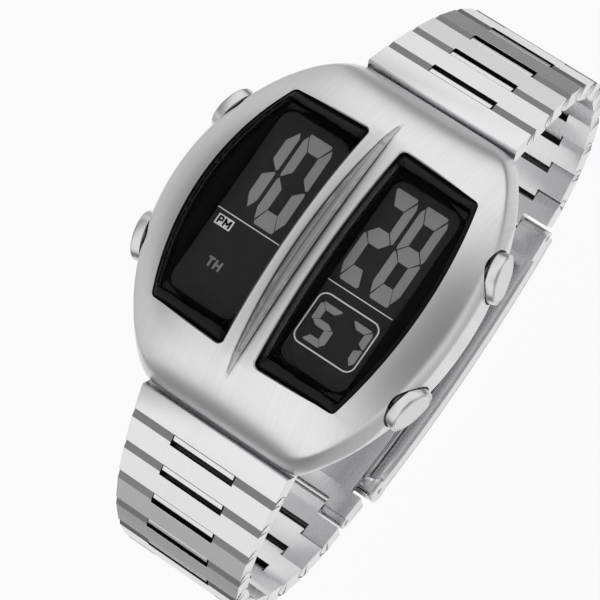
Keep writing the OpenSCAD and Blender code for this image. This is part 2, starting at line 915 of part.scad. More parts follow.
module plain_link(n) {
    tapered(n, link_pitch) {
        difference() {
            union() {
                across_bar(half_width(0))
                    near_outline();
                link_far_end(half_width(0), n == link_count);
            }
            translate([-knuckle_radius - past, -half_thick - past, -notch_half_width])
                cube([knuckle_radius + past + notch_depth, link_thickness + 2 * past, 2 * notch_half_width]);
            translate([0, 0, -half_width(0) - past])
                cylinder(r = pin_hole, h = 2 * half_width(0) + 2 * past, $fn = 48);
        }
    }
    translate([0, 0, -half_width(n - 1) + pin_short])
        cylinder(r = pin_radius, h = 2 * (half_width(n - 1) - pin_short), $fn = 48);
}

// The first link has a lower, full-width knuckle that reaches under the lip
module first_link() {
    far_shift = first_far_pin - [link_pitch, 0];
    bar_low = first_face_drop - link_thickness;
    tapered(1, first_far_pin[0])
        difference() {
            union() {
                across_bar(half_width(0))
                    union() {
                        circle(r = knuckle_radius, $fn = 48);
                        polygon([[0, -knuckle_radius], [0.6, knuckle_radius - 0.55],
                            [first_face_start, knuckle_radius - 0.55],
                            [first_face_start, first_face_drop - 0.15],
                            [first_face_start + 0.15, first_face_drop],
                            [far_shift[0] + face_end - 1, first_face_drop],
                            [far_shift[0] + face_end - 1, bar_low],
                            [first_face_start + 0.8, bar_low]]);
                    }
                translate([far_shift[0], far_shift[1], 0])
                    link_far_end(half_width(0), false);
            }
            translate([0, 0, -half_width(0) - past])
                cylinder(r = pin_run, h = 2 * half_width(0) + 2 * past, $fn = 48);
        }
}

module bracelet_link(n, upper) {
    color("silver")
        mirror([0, upper ? 0 : 1, 0])
            at_link(n)
                if (n == 1)
                    first_link();
                else
                    plain_link(n);
}

// Turns a shape about the clasp's centre, so that 0 is the lowest point
// and a positive angle lies towards 12 o'clock
module on_clasp(angle) {
    translate([0, 0, clasp_centre])
        rotate([angle, 0, 0])
            children();
}

// Gives a side outline, drawn about the clasp's centre, its width across the clasp
module across_clasp(half_wide) {
    translate([0, 0, clasp_centre])
        rotate([90, 0, 90])
            translate([0, 0, -half_wide])
                linear_extrude(height = 2 * half_wide)
                    children();
}

// The side outline of a curved leaf between two radii and two angles
module leaf_outline(inner, outer, from, to) {
    difference() {
        circle(r = outer, $fn = 360);
        circle(r = inner, $fn = 360);
        rotate(from - 90)
            translate([-far, -far])
                square([2 * far, far]);
        rotate(to - 90)
            translate([-far, 0])
                square([2 * far, far]);
        translate([-far, 0])
            square([2 * far, far]);
    }
}

// A round spot in the clasp's side outline
module spot(angle, at_radius, radius) {
    rotate(angle)
        translate([0, -at_radius])
            circle(r = radius, $fn = 48);
}

// A round bar across the clasp at an angle and radius
module clasp_round(angle, at_radius, radius, half_wide) {
    across_clasp(half_wide)
        spot(angle, at_radius, radius);
}

// The gap for a link's tongue at one end of the clasp
module tongue_gap(side) {
    on_clasp(side * clasp_end_angle)
        translate([-notch_half_width, side > 0 ? -notch_depth : -past - 2, -clasp_radius - 5])
            cube([2 * notch_half_width, notch_depth + past + 2, 10]);
}

function clasp_angle(distance) = asin(distance / clasp_radius);

cover_hinge_angle = -clasp_angle(cover_hinge_distance);
blade_hinge_angle = clasp_angle(blade_hinge_distance);
knuckle_room = hinge_knuckle + 0.2;
middle_knuckle_half = 3;
end_block_angle = clasp_end_angle - clasp_angle(end_block_length);

// The bar that joins the bracelet to the cover, its tips drawn in
module clasp_spring_bar() {
    color("gray")
        clasp_round(clasp_end_angle, clasp_radius, pin_radius, tongue_half_width);
}

module clasp_inner_blade() {
    color("silver") {
        difference() {
            union() {
                across_clasp(blade_width / 2) {
                    leaf_outline(inner_inner, inner_inner + blade_thickness,
                        -end_block_angle - 1, blade_hinge_angle);
                    spot(blade_hinge_angle, blade_hinge_radius, hinge_knuckle);
                }
                across_clasp(clasp_end_width / 2) {
                    leaf_outline(inner_inner - 0.15, clasp_radius + half_thick,
                        -clasp_end_angle, -end_block_angle);
                    spot(-clasp_end_angle, clasp_radius, knuckle_radius);
                }
            }
            tongue_gap(-1);
            clasp_round(-clasp_end_angle, clasp_radius, pin_hole, clasp_end_width);
            clasp_round(blade_hinge_angle, blade_hinge_radius, pin_hole, blade_width);
            clasp_round(blade_hinge_angle, blade_hinge_radius, knuckle_room, middle_knuckle_half + gap);
        }
        clasp_round(-clasp_end_angle, clasp_radius, pin_radius, clasp_end_width / 2 - pin_short);
        clasp_round(blade_hinge_angle, blade_hinge_radius, pin_radius, blade_width / 2 - pin_short);
    }
}

module clasp_middle_blade() {
    color("silver")
        difference() {
            union() {
                across_clasp(blade_width / 2) {
                    leaf_outline(middle_inner, middle_inner + blade_thickness,
                        cover_hinge_angle, blade_hinge_angle);
                    spot(blade_hinge_angle, blade_hinge_radius, hinge_knuckle);
                }
                clasp_round(cover_hinge_angle, cover_hinge_radius, hinge_knuckle, flange_inner - gap);
            }
            for (s = [0, 1])
                mirror([s, 0, 0])
                    translate([middle_knuckle_half + far / 2, 0, 0])
                        clasp_round(blade_hinge_angle, blade_hinge_radius, knuckle_room, far / 2);
            clasp_round(blade_hinge_angle, blade_hinge_radius, pin_run, blade_width);
            clasp_round(cover_hinge_angle, cover_hinge_radius, pin_run, cover_half_width);
        }
}

module clasp_cover() {
    color("silver") {
        difference() {
            across_clasp(cover_half_width) {
                leaf_outline(middle_inner, cover_inner + blade_thickness, cover_hinge_angle, clasp_end_angle);
                leaf_outline(clasp_radius - half_thick, cover_inner + blade_thickness,
                    end_block_angle, clasp_end_angle);
                spot(cover_hinge_angle, cover_hinge_radius, cover_ear_radius);
                spot(clasp_end_angle, clasp_radius, knuckle_radius);
            }
            across_clasp(flange_inner) {
                leaf_outline(clasp_radius - 5, cover_inner, cover_hinge_angle - 4, end_block_angle);
                spot(cover_hinge_angle, cover_hinge_radius, knuckle_room);
            }
            tongue_gap(1);
            clasp_round(clasp_end_angle, clasp_radius, pin_hole, far / 2);
            clasp_round(cover_hinge_angle, cover_hinge_radius, pin_hole, far / 2);
        }
        clasp_round(cover_hinge_angle, cover_hinge_radius, pin_radius, cover_half_width - 0.2);
    }
}

case();
crystal_left();
crystal_right();
crystal_gaskets();
display_mask();
lcd_left();
lcd_right();
light_panels();
zebra_connectors();
module_frame();
circuit_board();
board_parts();
switch_contacts();
cell_holder();
coin_cell();
cell_clip();
buzzer_disc();
case_back();
case_back_gasket();
case_back_screws();
pusher(true, true);  // pusher_upper_right
pusher(true, false);  // pusher_lower_right
pusher(false, true);  // pusher_upper_left
pusher(false, false);  // pusher_lower_left
spring(true, true);  // spring_upper_right
spring(true, false);  // spring_lower_right
spring(false, true);  // spring_upper_left
spring(false, false);  // spring_lower_left
pusher_seals();
spring_bars();
bracelet_link(1, true);  // upper_link_01
bracelet_link(2, true);  // upper_link_02
bracelet_link(3, true);  // upper_link_03
bracelet_link(4, true);  // upper_link_04
bracelet_link(5, true);  // upper_link_05
bracelet_link(6, true);  // upper_link_06
bracelet_link(7, true);  // upper_link_07
bracelet_link(8, true);  // upper_link_08
bracelet_link(9, true);  // upper_link_09
bracelet_link(10, true);  // upper_link_10
bracelet_link(11, true);  // upper_link_11
bracelet_link(12, true);  // upper_link_12
bracelet_link(1, false);  // lower_link_01
bracelet_link(2, false);  // lower_link_02
bracelet_link(3, false);  // lower_link_03
bracelet_link(4, false);  // lower_link_04
bracelet_link(5, false);  // lower_link_05
bracelet_link(6, false);  // lower_link_06
bracelet_link(7, false);  // lower_link_07
bracelet_link(8, false);  // lower_link_08
bracelet_link(9, false);  // lower_link_09
bracelet_link(10, false);  // lower_link_10
bracelet_link(11, false);  // lower_link_11
bracelet_link(12, false);  // lower_link_12
clasp_spring_bar();
clasp_inner_blade();
clasp_middle_blade();
clasp_cover();
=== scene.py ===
import math

import bmesh
import bpy
import numpy as np
from mathutils import Matrix, Vector
from mathutils.geometry import delaunay_2d_cdt


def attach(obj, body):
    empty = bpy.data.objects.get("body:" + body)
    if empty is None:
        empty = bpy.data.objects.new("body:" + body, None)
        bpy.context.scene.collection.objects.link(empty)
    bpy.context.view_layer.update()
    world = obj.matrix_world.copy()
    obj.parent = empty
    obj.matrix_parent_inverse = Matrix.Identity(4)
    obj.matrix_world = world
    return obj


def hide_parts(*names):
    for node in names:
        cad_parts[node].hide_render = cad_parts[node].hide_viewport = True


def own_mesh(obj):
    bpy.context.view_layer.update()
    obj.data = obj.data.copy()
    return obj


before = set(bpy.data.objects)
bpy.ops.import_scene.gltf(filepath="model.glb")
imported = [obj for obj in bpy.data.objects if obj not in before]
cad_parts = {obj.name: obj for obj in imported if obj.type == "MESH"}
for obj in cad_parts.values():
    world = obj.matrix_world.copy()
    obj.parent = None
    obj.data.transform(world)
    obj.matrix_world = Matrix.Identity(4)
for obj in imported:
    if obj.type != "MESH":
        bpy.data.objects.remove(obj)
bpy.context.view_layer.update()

mm = 0.001
# Points nearer than this are welded
weldGap = 0.002


# Meshes and pieces. Lengths in this file are in millimetres until a mesh is made

def meshFrom(name, points, faces):
    mesh = bpy.data.meshes.new(name)
    corners = [tuple(p) for p in np.asarray(points, float) * mm]
    mesh.from_pydata(corners, [], [tuple(map(int, f)) for f in faces])
    mesh.validate()
    return mesh


def faceOutward(mesh, merge=0.0):
    work = bmesh.new()
    work.from_mesh(mesh)
    if merge:
        bmesh.ops.remove_doubles(work, verts=work.verts, dist=merge * mm)
    bmesh.ops.recalc_face_normals(work, faces=work.faces)
    if work.calc_volume(signed=True) < 0:
        bmesh.ops.reverse_faces(work, faces=work.faces)
    work.to_mesh(mesh)
    work.free()


def solidFrom(name, points, faces):
    mesh = meshFrom(name, points, faces)
    faceOutward(mesh)
    return mesh


def addObject(name, data):
    made = bpy.data.objects.new(name, data)
    bpy.context.scene.collection.objects.link(made)
    return made


def takeMesh(piece):
    # A copy of the piece's mesh, and the piece goes
    mesh = piece.data.copy()
    bpy.data.objects.remove(piece)
    return mesh


def placePiece(name, mesh, material, body, replaced=(), angle=30):
    piece = addObject(name, mesh)
    mesh.materials.clear()
    mesh.materials.append(material)
    if angle:
        mesh.shade_smooth()
        mesh.set_sharp_from_angle(angle=math.radians(angle))
    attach(piece, body)
    if replaced:
        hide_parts(*replaced)
    return piece


def applied(piece):
    # The piece's mesh with its modifiers worked in
    view = bpy.context.evaluated_depsgraph_get()
    mesh = bpy.data.meshes.new_from_object(piece.evaluated_get(view))
    piece.modifiers.clear()
    return mesh


def cutAway(piece, cutter, operation="DIFFERENCE"):
    tool = addObject(cutter.name, cutter)
    cut = piece.modifiers.new("cut", "BOOLEAN")
    cut.operation, cut.object, cut.solver = operation, tool, "MANIFOLD"
    mesh = applied(piece)
    old, piece.data = piece.data, mesh
    bpy.data.meshes.remove(old)
    bpy.data.objects.remove(tool)
    bpy.data.meshes.remove(cutter)


def copyOfNode(node):
    # A merged copy of a CAD node's mesh, in one piece of connected faces
    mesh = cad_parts[node].data.copy()
    faceOutward(mesh, weldGap)
    return mesh


def coatNode(name, material):
    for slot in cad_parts[name].material_slots:
        slot.material = material


# Solids through rings, along X and about X

def ringSolid(name, rings):
    # A closed solid through rings of equal counts, with a flat cap at each end
    count = len(rings[0])
    faces = []
    for r in range(len(rings) - 1):
        for k in range(count):
            n = (k + 1) % count
            faces.append((r * count + k, r * count + n, (r + 1) * count + n, (r + 1) * count + k))
    faces.append(tuple(range(count - 1, -1, -1)))
    faces.append(tuple(range((len(rings) - 1) * count, len(rings) * count)))
    return solidFrom(name, np.concatenate(rings), faces)


def atHeight(outline, height):
    return np.column_stack([outline, np.broadcast_to(height, len(outline))])


def raised(name, outline, low, high):
    return ringSolid(name, [atHeight(outline, low), atHeight(outline, high)])


def extrudedAcross(name, outline, halfWidth):
    # A (y, z) outline drawn out along X
    outline = np.asarray(outline, float)
    return ringSolid(name, [np.column_stack([np.full(len(outline), side * halfWidth), outline])
                            for side in (-1, 1)])


def turned(name, profile, sides=64):
    # A solid turned about X from (place, radius) points, closed where the radius is 0
    angles = [2 * math.pi * k / sides for k in range(sides)]
    points, faces, rings = [], [], []
    for place, radius in profile:
        if radius < 1e-6:
            rings.append([len(points)])
            points.append((place, 0, 0))
        else:
            rings.append(list(range(len(points), len(points) + sides)))
            points += [(place, radius * math.cos(a), radius * math.sin(a)) for a in angles]
    for a, b in zip(rings, rings[1:]):
        for k in range(sides):
            n = (k + 1) % sides
            corner = [a[k % len(a)], a[n % len(a)], b[n % len(b)], b[k % len(b)]]
            faces.append(tuple(dict.fromkeys(corner)))
    if len(rings[0]) > 1 and len(rings[-1]) > 1:
        for k in range(sides):
            n = (k + 1) % sides
            faces.append((rings[-1][k], rings[-1][n], rings[0][n], rings[0][k]))
    return solidFrom(name, points, faces)


def arcPoints(centre, radius, start, end, steps):
    return [(centre[0] + radius * math.cos(math.radians(a)), centre[1] + radius * math.sin(math.radians(a)))
            for a in np.linspace(start, end, steps)]


def aboutZ(mesh):
    # Stands a solid that was turned about X on end
    mesh.transform(Matrix.Rotation(-math.pi / 2, 4, "Y"))
    return mesh


# Nodes

def feed(tree, socket, value):
    if isinstance(value, bpy.types.NodeSocket):
        tree.links.new(value, socket)
    else:
        socket.default_value = value


def addNode(tree, kind, inputs=None, **settings):
    made = tree.nodes.new(kind)
    for key, value in settings.items():
        setattr(made, key, value)
    for key, value in (inputs or {}).items():
        feed(tree, made.inputs[key], value)
    return made


def mathNode(tree, operation, first, second=0.0):
    return addNode(tree, "ShaderNodeMath", {0: first, 1: second}, operation=operation).outputs[0]


def plus(tree, first, second):
    return mathNode(tree, "ADD", first, second)


def minus(tree, first, second):
    return mathNode(tree, "SUBTRACT", first, second)


def times(tree, first, second):
    return mathNode(tree, "MULTIPLY", first, second)


def vectorOf(tree, **parts):
    return addNode(tree, "ShaderNodeCombineXYZ", parts).outputs[0]


def partsOf(tree, vector):
    return addNode(tree, "ShaderNodeSeparateXYZ", {0: vector}).outputs


def ranged(tree, value, start, end, low=0.0, high=1.0):
    return addNode(tree, "ShaderNodeMapRange", {"Value": value, "From Min": start, "From Max": end,
                                                "To Min": low, "To Max": high}).outputs[0]


def mixColours(tree, factor, first, second):
    # Of the node's sockets, 6, 7 and output 2 are for colours
    return addNode(tree, "ShaderNodeMix", {0: factor, 6: first, 7: second}, data_type="RGBA").outputs[2]


def mixShaders(tree, factor, first, second):
    return addNode(tree, "ShaderNodeMixShader", {0: factor, 1: first, 2: second}).outputs[0]


def scaledColour(tree, colour, level):
    return addNode(tree, "ShaderNodeVectorMath", {0: colour, "Scale": level}, operation="SCALE").outputs[0]


def grey(level):
    return (level, level, level, 1.0)


def objectPlace(tree):
    return tree.nodes.new("ShaderNodeTexCoord").outputs["Object"]


def noise(tree, place, **settings):
    return addNode(tree, "ShaderNodeTexNoise", {"Vector": place, **settings}).outputs[0]


def stretchedNoise(tree, scale, detail):
    mapped = addNode(tree, "ShaderNodeMapping", {"Vector": objectPlace(tree), "Scale": scale})
    return noise(tree, mapped.outputs[0], Scale=1.0, Detail=detail, Roughness=0.6)


def newSocket(tree, label, kind, way="INPUT"):
    return tree.interface.new_socket(label, in_out=way, socket_type="NodeSocket" + kind)


def newGrain(name, inputs):
    # A group that draws a surface, with its inputs and their defaults
    group = bpy.data.node_groups.new(name, "ShaderNodeTree")
    for label, value in inputs.items():
        newSocket(group, label, "Float" if isinstance(value, float) else "Color").default_value = value
    for label, kind in (("Colour", "Color"), ("Roughness", "Float"), ("Height", "Float")):
        newSocket(group, label, kind, "OUTPUT")
    return group, group.nodes.new("NodeGroupInput").outputs


def finishGrain(group, colour, rough, height):
    result = group.nodes.new("NodeGroupOutput").inputs
    for label, value in (("Colour", colour), ("Roughness", rough), ("Height", height)):
        group.links.new(value, result[label])
    return group


# Materials

def newMaterial(name, **settings):
    material = bpy.data.materials.new(name)
    material.use_nodes = True
    shader = material.node_tree.nodes["Principled BSDF"]
    for key, value in settings.items():
        shader.inputs[key.replace("_", " ")].default_value = value
    return material, shader


def addBump(tree, shader, height, strength, depth):
    bumps = addNode(tree, "ShaderNodeBump", {"Height": height, "Strength": strength, "Distance": depth * mm})
    tree.links.new(bumps.outputs[0], shader.inputs["Normal"])


def grainMaterial(name, group, values, bump, metallic=1.0, depth=0.02):
    # A surface drawn by a group, with its height as a bump
    material, shader = newMaterial(name, Metallic=metallic)
    tree = material.node_tree
    grain = addNode(tree, "ShaderNodeGroup", values, node_tree=group).outputs
    tree.links.new(grain["Colour"], shader.inputs["Base Color"])
    tree.links.new(grain["Roughness"], shader.inputs["Roughness"])
    addBump(tree, shader, grain["Height"], bump, depth)
    return material


# Scales of the noise, longest along the brushing, with its detail
brushScales = {"lines": ((9000, 90, 90), 3), "longer": ((3200, 22, 22), 2), "tone": ((160, 60, 60), 2)}
brushShares = {"lines": 0.6, "longer": 0.4, "shine": -0.6}


def makeBrushedGrain():
    # Fine lines along the brushing, broad uneven tone, and their height for the bump
    group, given = newGrain("brushedGrain", {"Colour": grey(0.8), "Line Shade": 0.1, "Tone Shade": 0.05,
                                             "Roughness": 0.3})
    lines, longer, tone = (stretchedNoise(group, *brushScales[key]) for key in ("lines", "longer", "tone"))
    both = plus(group, times(group, lines, brushShares["lines"]),
                times(group, longer, brushShares["longer"]))
    shade = times(group, minus(group, both, 0.5), given["Line Shade"])
    broad = times(group, minus(group, tone, 0.5), given["Tone Shade"])
    level = plus(group, plus(group, shade, broad), 1.0)
    rough = plus(group, given["Roughness"], times(group, shade, brushShares["shine"]))
    return finishGrain(group, scaledColour(group, given["Colour"], level), rough, both)


brushedGrain = makeBrushedGrain()


# Colour, roughness, depth of the lines and of the broad tone, and bump
steelLooks = {
    "caseSteel": ((0.76, 0.76, 0.77), 0.33, 0.22, 0.08, 0.25),
    # The ridge steel's darker colour is painted shade
    "ridgeSteel": ((0.47, 0.47, 0.48), 0.15, 0.22, 0.08, 0.1),
    "linkSteel": ((0.76, 0.76, 0.77), 0.27, 0.07, 0.08, 0.03),
    # The band and slot steels are darkened as painted shade in the link's recesses
    "bandSteel": ((0.23, 0.23, 0.235), 0.4, 0.15, 0.08, 0.1),
    "slotSteel": ((0.03, 0.03, 0.032), 0.5, 0.15, 0.08, 0.2),
    "pusherSteel": ((0.66, 0.66, 0.67), 0.26, 0.08, 0.05, 0.06),
    "springWire": ((0.7, 0.7, 0.71), 0.28, 0.1, 0.05, 0.1),
    "screwSteel": ((0.62, 0.62, 0.63), 0.28, 0.1, 0.05, 0.08),
    "claspSteel": ((0.72, 0.72, 0.73), 0.27, 0.12, 0.06, 0.06),
}


def brushedSteel(name):
    colour, rough, lineShade, toneShade, bump = steelLooks[name]
    return grainMaterial(name, brushedGrain, {"Colour": (*colour, 1.0), "Line Shade": lineShade,
                                              "Tone Shade": toneShade, "Roughness": rough}, bump)


caseSteel = brushedSteel("caseSteel")
ridgeSteel = brushedSteel("ridgeSteel")
# Of a link, of the bands across it and of the walls of its slot; the bands and slot walls are darker as
# painted shade
linkSteels = [brushedSteel(name) for name in ("linkSteel", "bandSteel", "slotSteel")]


# The case's outside, as one smooth function that is below zero inside the steel

caseShape = {
    "width": 40.6, "length": 45.8, "height": 13.8, "archRadius": 45.0, "sideRadius": 38.0,
    "cornerRadius": 25.75, "foot": 0.5, "turnUnder": 1.6, "turnUnderHeight": 4.6, "underRadius": 38.0,
    # The crown is round across the case, and flat again at the ends
    "crownRadius": 122.0, "crownReach": 60, "crownFade": (16, 6.5),
    "rollRadius": 12.589, "rollPlace": (10.502, -0.506), "rollStart": 14.578, "rollRise": 0.03,
    # Across and up, and the radii along the bevel and the edge below it by their slope in degrees
    "bevelTop": (16.0, 12.751), "bevelFoot": (20.3, 10.2), "edgeRounding": 2.6, "edgeSteps": 12,
    "roundAngles": (31.0, 60, 75, 90), "roundRadii": (34.0, 30.5, 30.5, 38),
    "topSoftness": 0.65, "sideSoftness": 0.1,
}
# Places and widths of groove and lines are shares of the ridge's half width
ridgeShape = {
    "height": 0.29, "halfWidth": 0.95, "halfLength": 18.15, "widthPower": 0.7, "heightPower": 0.65,
    "roofPower": 1.1, "groovePlace": 1.04, "grooveWidth": 0.1, "grooveDepth": 0.32, "shoulderStart": 0.9,
    "shoulderWidth": 0.45, "shoulderDepth": 0.16, "lines": ((0.36, 0.06), (0.7, 0.05)), "lineDepth": 0.085,
}
# Fine spacing across the ridge, coarse spacing elsewhere, rows down the side
caseMesh = {"limits": (20.6, 23.1, 14.4), "fine": 0.036, "coarse": 0.3, "fineReach": 1.32, "rows": 44,
            "quickFine": 0.12, "quickCoarse": 0.6, "quickRows": 20, "middle": 5, "reach": 1.6, "halvings": 34}


def softLargest(values, softness):
    stacked = np.stack(values)
    top = stacked.max(0)
    return top + softness * np.log(np.exp((stacked - top) / softness).sum(0))


def crownHeight(x, y, drop=0.0):
    shape = caseShape
    arch = shape["height"] - shape["archRadius"]
    radial = np.sqrt((shape["crownRadius"] - drop) ** 2 - x ** 2) - shape["crownRadius"] + shape["archRadius"]
    return arch + np.sqrt(radial ** 2 - y ** 2)


def ridgeWidth(share):
    return ridgeShape["halfWidth"] * share ** ridgeShape["widthPower"]


def ridgeRise(x, y):
    # A roof that runs to a point at each end, with hollow shoulders and fine lines beside its crest
    shape = ridgeShape
    share = np.clip(1 - (y / shape["halfLength"]) ** 2, 0, 1)
    across = np.abs(x) / (ridgeWidth(share) + 1e-4)
    roof = shape["height"] * share ** shape["heightPower"] * np.clip(1 - across, 0, 1) ** shape["roofPower"]
    foot = np.exp(-((across - shape["groovePlace"]) / shape["grooveWidth"]) ** 2) * shape["grooveDepth"]
    fall = shape["shoulderDepth"] * np.exp(-np.maximum(across - 1, 0) / shape["shoulderWidth"])
    shoulder = fall * np.clip(across - shape["shoulderStart"], 0, 0.1) * 10
    lines = sum(np.exp(-((across - place) / width) ** 2) for place, width in shape["lines"])
    return roof - (foot + shoulder) * np.sqrt(share) - lines * shape["lineDepth"] * share


def caseSkin(p):
    shape = caseShape
    x, y, z = np.abs(p[..., 0]), np.abs(p[..., 1]), p[..., 2]
    arch = shape["height"] - shape["archRadius"]
    rollY, rollZ = shape["rollPlace"]
    along = np.where(y < shape["rollStart"], np.hypot(y, z - arch) - shape["archRadius"],
                     np.hypot(y - rollY, z - rollZ) - shape["rollRadius"] - shape["rollRise"])
    fadeStart, fadeLength = shape["crownFade"]
    fade = np.clip((y - fadeStart) / fadeLength, 0, 1)
    near = np.minimum(x, shape["crownReach"])
    crown = shape["crownRadius"] - np.sqrt(shape["crownRadius"] ** 2 - near ** 2)
    crown = crown * (1 - fade * fade * (3 - 2 * fade))
    top = along + crown - ridgeRise(p[..., 0], p[..., 1])
    # The bevel and the rounded edge below it, each a leaning round
    topX, topZ = shape["bevelTop"]
    footX, footZ = shape["bevelFoot"]
    rounding = shape["edgeRounding"]
    bevel = math.atan2(topZ - footZ, footX - topX)
    middleX, middleZ = footX - rounding, footZ - rounding * math.tan((math.pi / 2 - bevel) / 2)
    rounds = []
    for slope in np.linspace(bevel, math.pi / 2, shape["edgeSteps"] + 1)[:-1]:
        radius = np.interp(math.degrees(slope), shape["roundAngles"], shape["roundRadii"])
        reach = middleX * math.sin(slope) + middleZ * math.cos(slope) + rounding
        rounds.append(np.hypot(x * math.sin(slope) + z * math.cos(slope) + radius - reach, y) - radius)
    rounds.append(np.hypot(x + shape["sideRadius"] - shape["width"] / 2, y) - shape["sideRadius"])
    under = shape["turnUnder"] / (shape["turnUnderHeight"] - shape["foot"])
    underOut = np.hypot(x + shape["underRadius"] - shape["width"] / 2, y) - shape["underRadius"]
    below = (underOut + (shape["turnUnderHeight"] - z) * under) / math.hypot(1, under)
    body = softLargest([top, np.max(np.stack(rounds), 0)], shape["topSoftness"])
    return softLargest([body, y - shape["length"] / 2, np.hypot(x, y) - shape["cornerRadius"], below],
                       shape["sideSoftness"])


def meetSkin(start, aim):
    # Where the lines from start towards aim leave the case
    low, high = np.zeros(len(aim)), np.full(len(aim), caseMesh["reach"])
    for _ in range(caseMesh["halvings"]):
        middle = (low + high) / 2
        inside = caseSkin(start + (aim - start) * middle[:, None]) < 0
        low, high = np.where(inside, middle, low), np.where(inside, high, middle)
    return start + (aim - start) * low[:, None]


def spread(limit, fine, coarse, fineReach):
    # Stations from -limit to limit, close together near the middle
    inner = np.linspace(0, fineReach, int(round(fineReach / fine)) + 1)
    outer = np.linspace(fineReach, limit, int(round((limit - fineReach) / coarse)) + 1)[1:]
    half = np.concatenate([inner, outer])
    return np.concatenate([-half[:0:-1], half])


def makeCaseBody():
    # The top as a grid, then rows of points from its rim down to the foot
    foot, middle = caseShape["foot"], caseMesh["middle"]
    limitX, limitY, limitZ = caseMesh["limits"]
    fine, coarse, rows = (caseMesh[key] for key in ("fine", "coarse", "rows"))
    xs, ys = spread(limitX, fine, coarse, caseMesh["fineReach"]), spread(limitY, coarse, coarse, coarse)
    nx, ny = len(xs), len(ys)
    gridX, gridY = np.meshgrid(xs, ys, indexing="ij")
    aim = atHeight(np.column_stack([gridX.ravel(), gridY.ravel()]), limitZ)
    points = [meetSkin(np.tile([0.0, 0.0, middle], (len(aim), 1)), aim)]
    faces = [(i * ny + j, (i + 1) * ny + j, (i + 1) * ny + j + 1, i * ny + j + 1)
             for i in range(nx - 1) for j in range(ny - 1)]
    rim = [(i, 0) for i in range(nx)] + [(nx - 1, j) for j in range(1, ny)] \
        + [(i, ny - 1) for i in range(nx - 2, -1, -1)] + [(0, j) for j in range(ny - 2, 0, -1)]
    above = [i * ny + j for i, j in rim]
    rimXY = np.array([(xs[i], ys[j]) for i, j in rim])
    count = nx * ny
    for row in range(1, rows + 1):
        level = 1 - row / rows
        start = atHeight(np.zeros((len(rim), 2)), foot + (middle - foot) * level)
        points.append(meetSkin(start, atHeight(rimXY, foot + (limitZ - foot) * level)))
        below = list(range(count, count + len(rim)))
        count += len(rim)
        for k in range(len(rim)):
            n = (k + 1) % len(rim)
            faces.append((above[k], below[k], below[n], above[n]))
        above = below
    faces.append(tuple(reversed(above)))
    return solidFrom("caseBody", np.concatenate(points), faces)


# Outlines and cutters for the case's openings

windowShape = {"radius": 44.2, "reach": 15.9, "barHalf": 2.34, "halfLength": 15.3, "slant": 0.0412,
               "corner": 0.75, "leastCorner": 0.03, "cornerPoints": 9, "endPoints": 30, "sidePoints": 70,
               "glassGap": 0.06, "ledge": 0.6, "ledgeDrop": 1.55, "glassThickness": 1.3, "chamfer": 0.13,
               "chamferSlope": 1.2, "clear": 0.9, "cutterTop": 17.0, "cutterFoot": 7.6}


def windowOutline(inset, mirrored=False):
    # The window's outline with rounded corners, moved in by inset
    shape = windowShape
    middle = shape["reach"] - shape["radius"]
    lean = math.hypot(1, shape["slant"])
    rounding = max(shape["corner"] - inset, shape["leastCorner"])

    def cornerCentre(outer, side):
        grow = inset + rounding
        x = shape["barHalf"] + grow
        for _ in range(30):
            y = shape["halfLength"] - shape["slant"] * (x - shape["barHalf"]) - grow * lean
            if outer:
                x = middle + math.sqrt((shape["radius"] - grow) ** 2 - y * y)
        return np.array([x, side * y])

    def cornerArc(outer, side, first, last):
        centre = cornerCentre(outer, side)
        a, b = math.atan2(first[1], first[0]), math.atan2(last[1], last[0])
        while b < a:
            b += 2 * math.pi
        return [centre + rounding * np.array([math.cos(t), math.sin(t)])
                for t in np.linspace(a, b, shape["cornerPoints"])]

    def outward(side):
        away = cornerCentre(True, side) - np.array([middle, 0])
        return away / np.linalg.norm(away)

    def straight(a, b, steps):
        return [a + (b - a) * t for t in np.linspace(0, 1, steps + 1)[1:-1]]

    def curved(a, b, steps):
        ta, tb = math.atan2(a[1], a[0] - middle), math.atan2(b[1], b[0] - middle)
        radius = shape["radius"] - inset
        return [np.array([middle + radius * math.cos(t), radius * math.sin(t)])
                for t in np.linspace(ta, tb, steps + 1)[1:-1]]

    high = np.array([shape["slant"], 1.0]) / lean
    low = high * [1, -1]
    arcs = [cornerArc(False, -1, (-1.0, -1e-9), low), cornerArc(True, -1, low, outward(-1)),
            cornerArc(True, 1, outward(1), high), cornerArc(False, 1, high, (-1.0, 1e-9))]
    counts = (shape["endPoints"], shape["sidePoints"]) * 2
    loop = []
    for n, between in enumerate((straight, curved, straight, straight)):
        loop += arcs[n] + between(arcs[n][-1], arcs[(n + 1) % 4][0], counts[n])
    loop = np.array(loop)
    return loop[::-1] * [-1, 1] if mirrored else loop


def windowCutter(mirrored):
    shape = windowShape
    flare, drop = shape["chamfer"], shape["ledgeDrop"]
    wide, rim, edge, inner = (windowOutline(inset, mirrored)
                              for inset in (-flare - shape["clear"], -flare, 0, shape["ledge"]))
    return ringSolid("windowCutter", [
        atHeight(wide, shape["cutterTop"]), atHeight(wide, crownHeight(*rim.T) + shape["clear"]),
        atHeight(rim, crownHeight(*rim.T)),
        atHeight(edge, crownHeight(*edge.T) - flare * shape["chamferSlope"]),
        atHeight(edge, crownHeight(*edge.T, drop)), atHeight(inner, crownHeight(*inner.T, drop)),
        atHeight(inner, shape["cutterFoot"])])


sideCentre = caseShape["sideRadius"] - caseShape["width"] / 2


def barrelCutter(inset, halfLength, low, high, steps=60):
    radius = caseShape["sideRadius"] - inset
    end = math.asin(halfLength / radius)
    right = [(radius * math.cos(t) - sideCentre, radius * math.sin(t)) for t in np.linspace(-end, end, steps)]
    return raised("roomCutter", np.array(right + [(-x, -y) for x, y in right]), low, high)


pusherPlace = {"distance": 9.1, "height": 6.63}


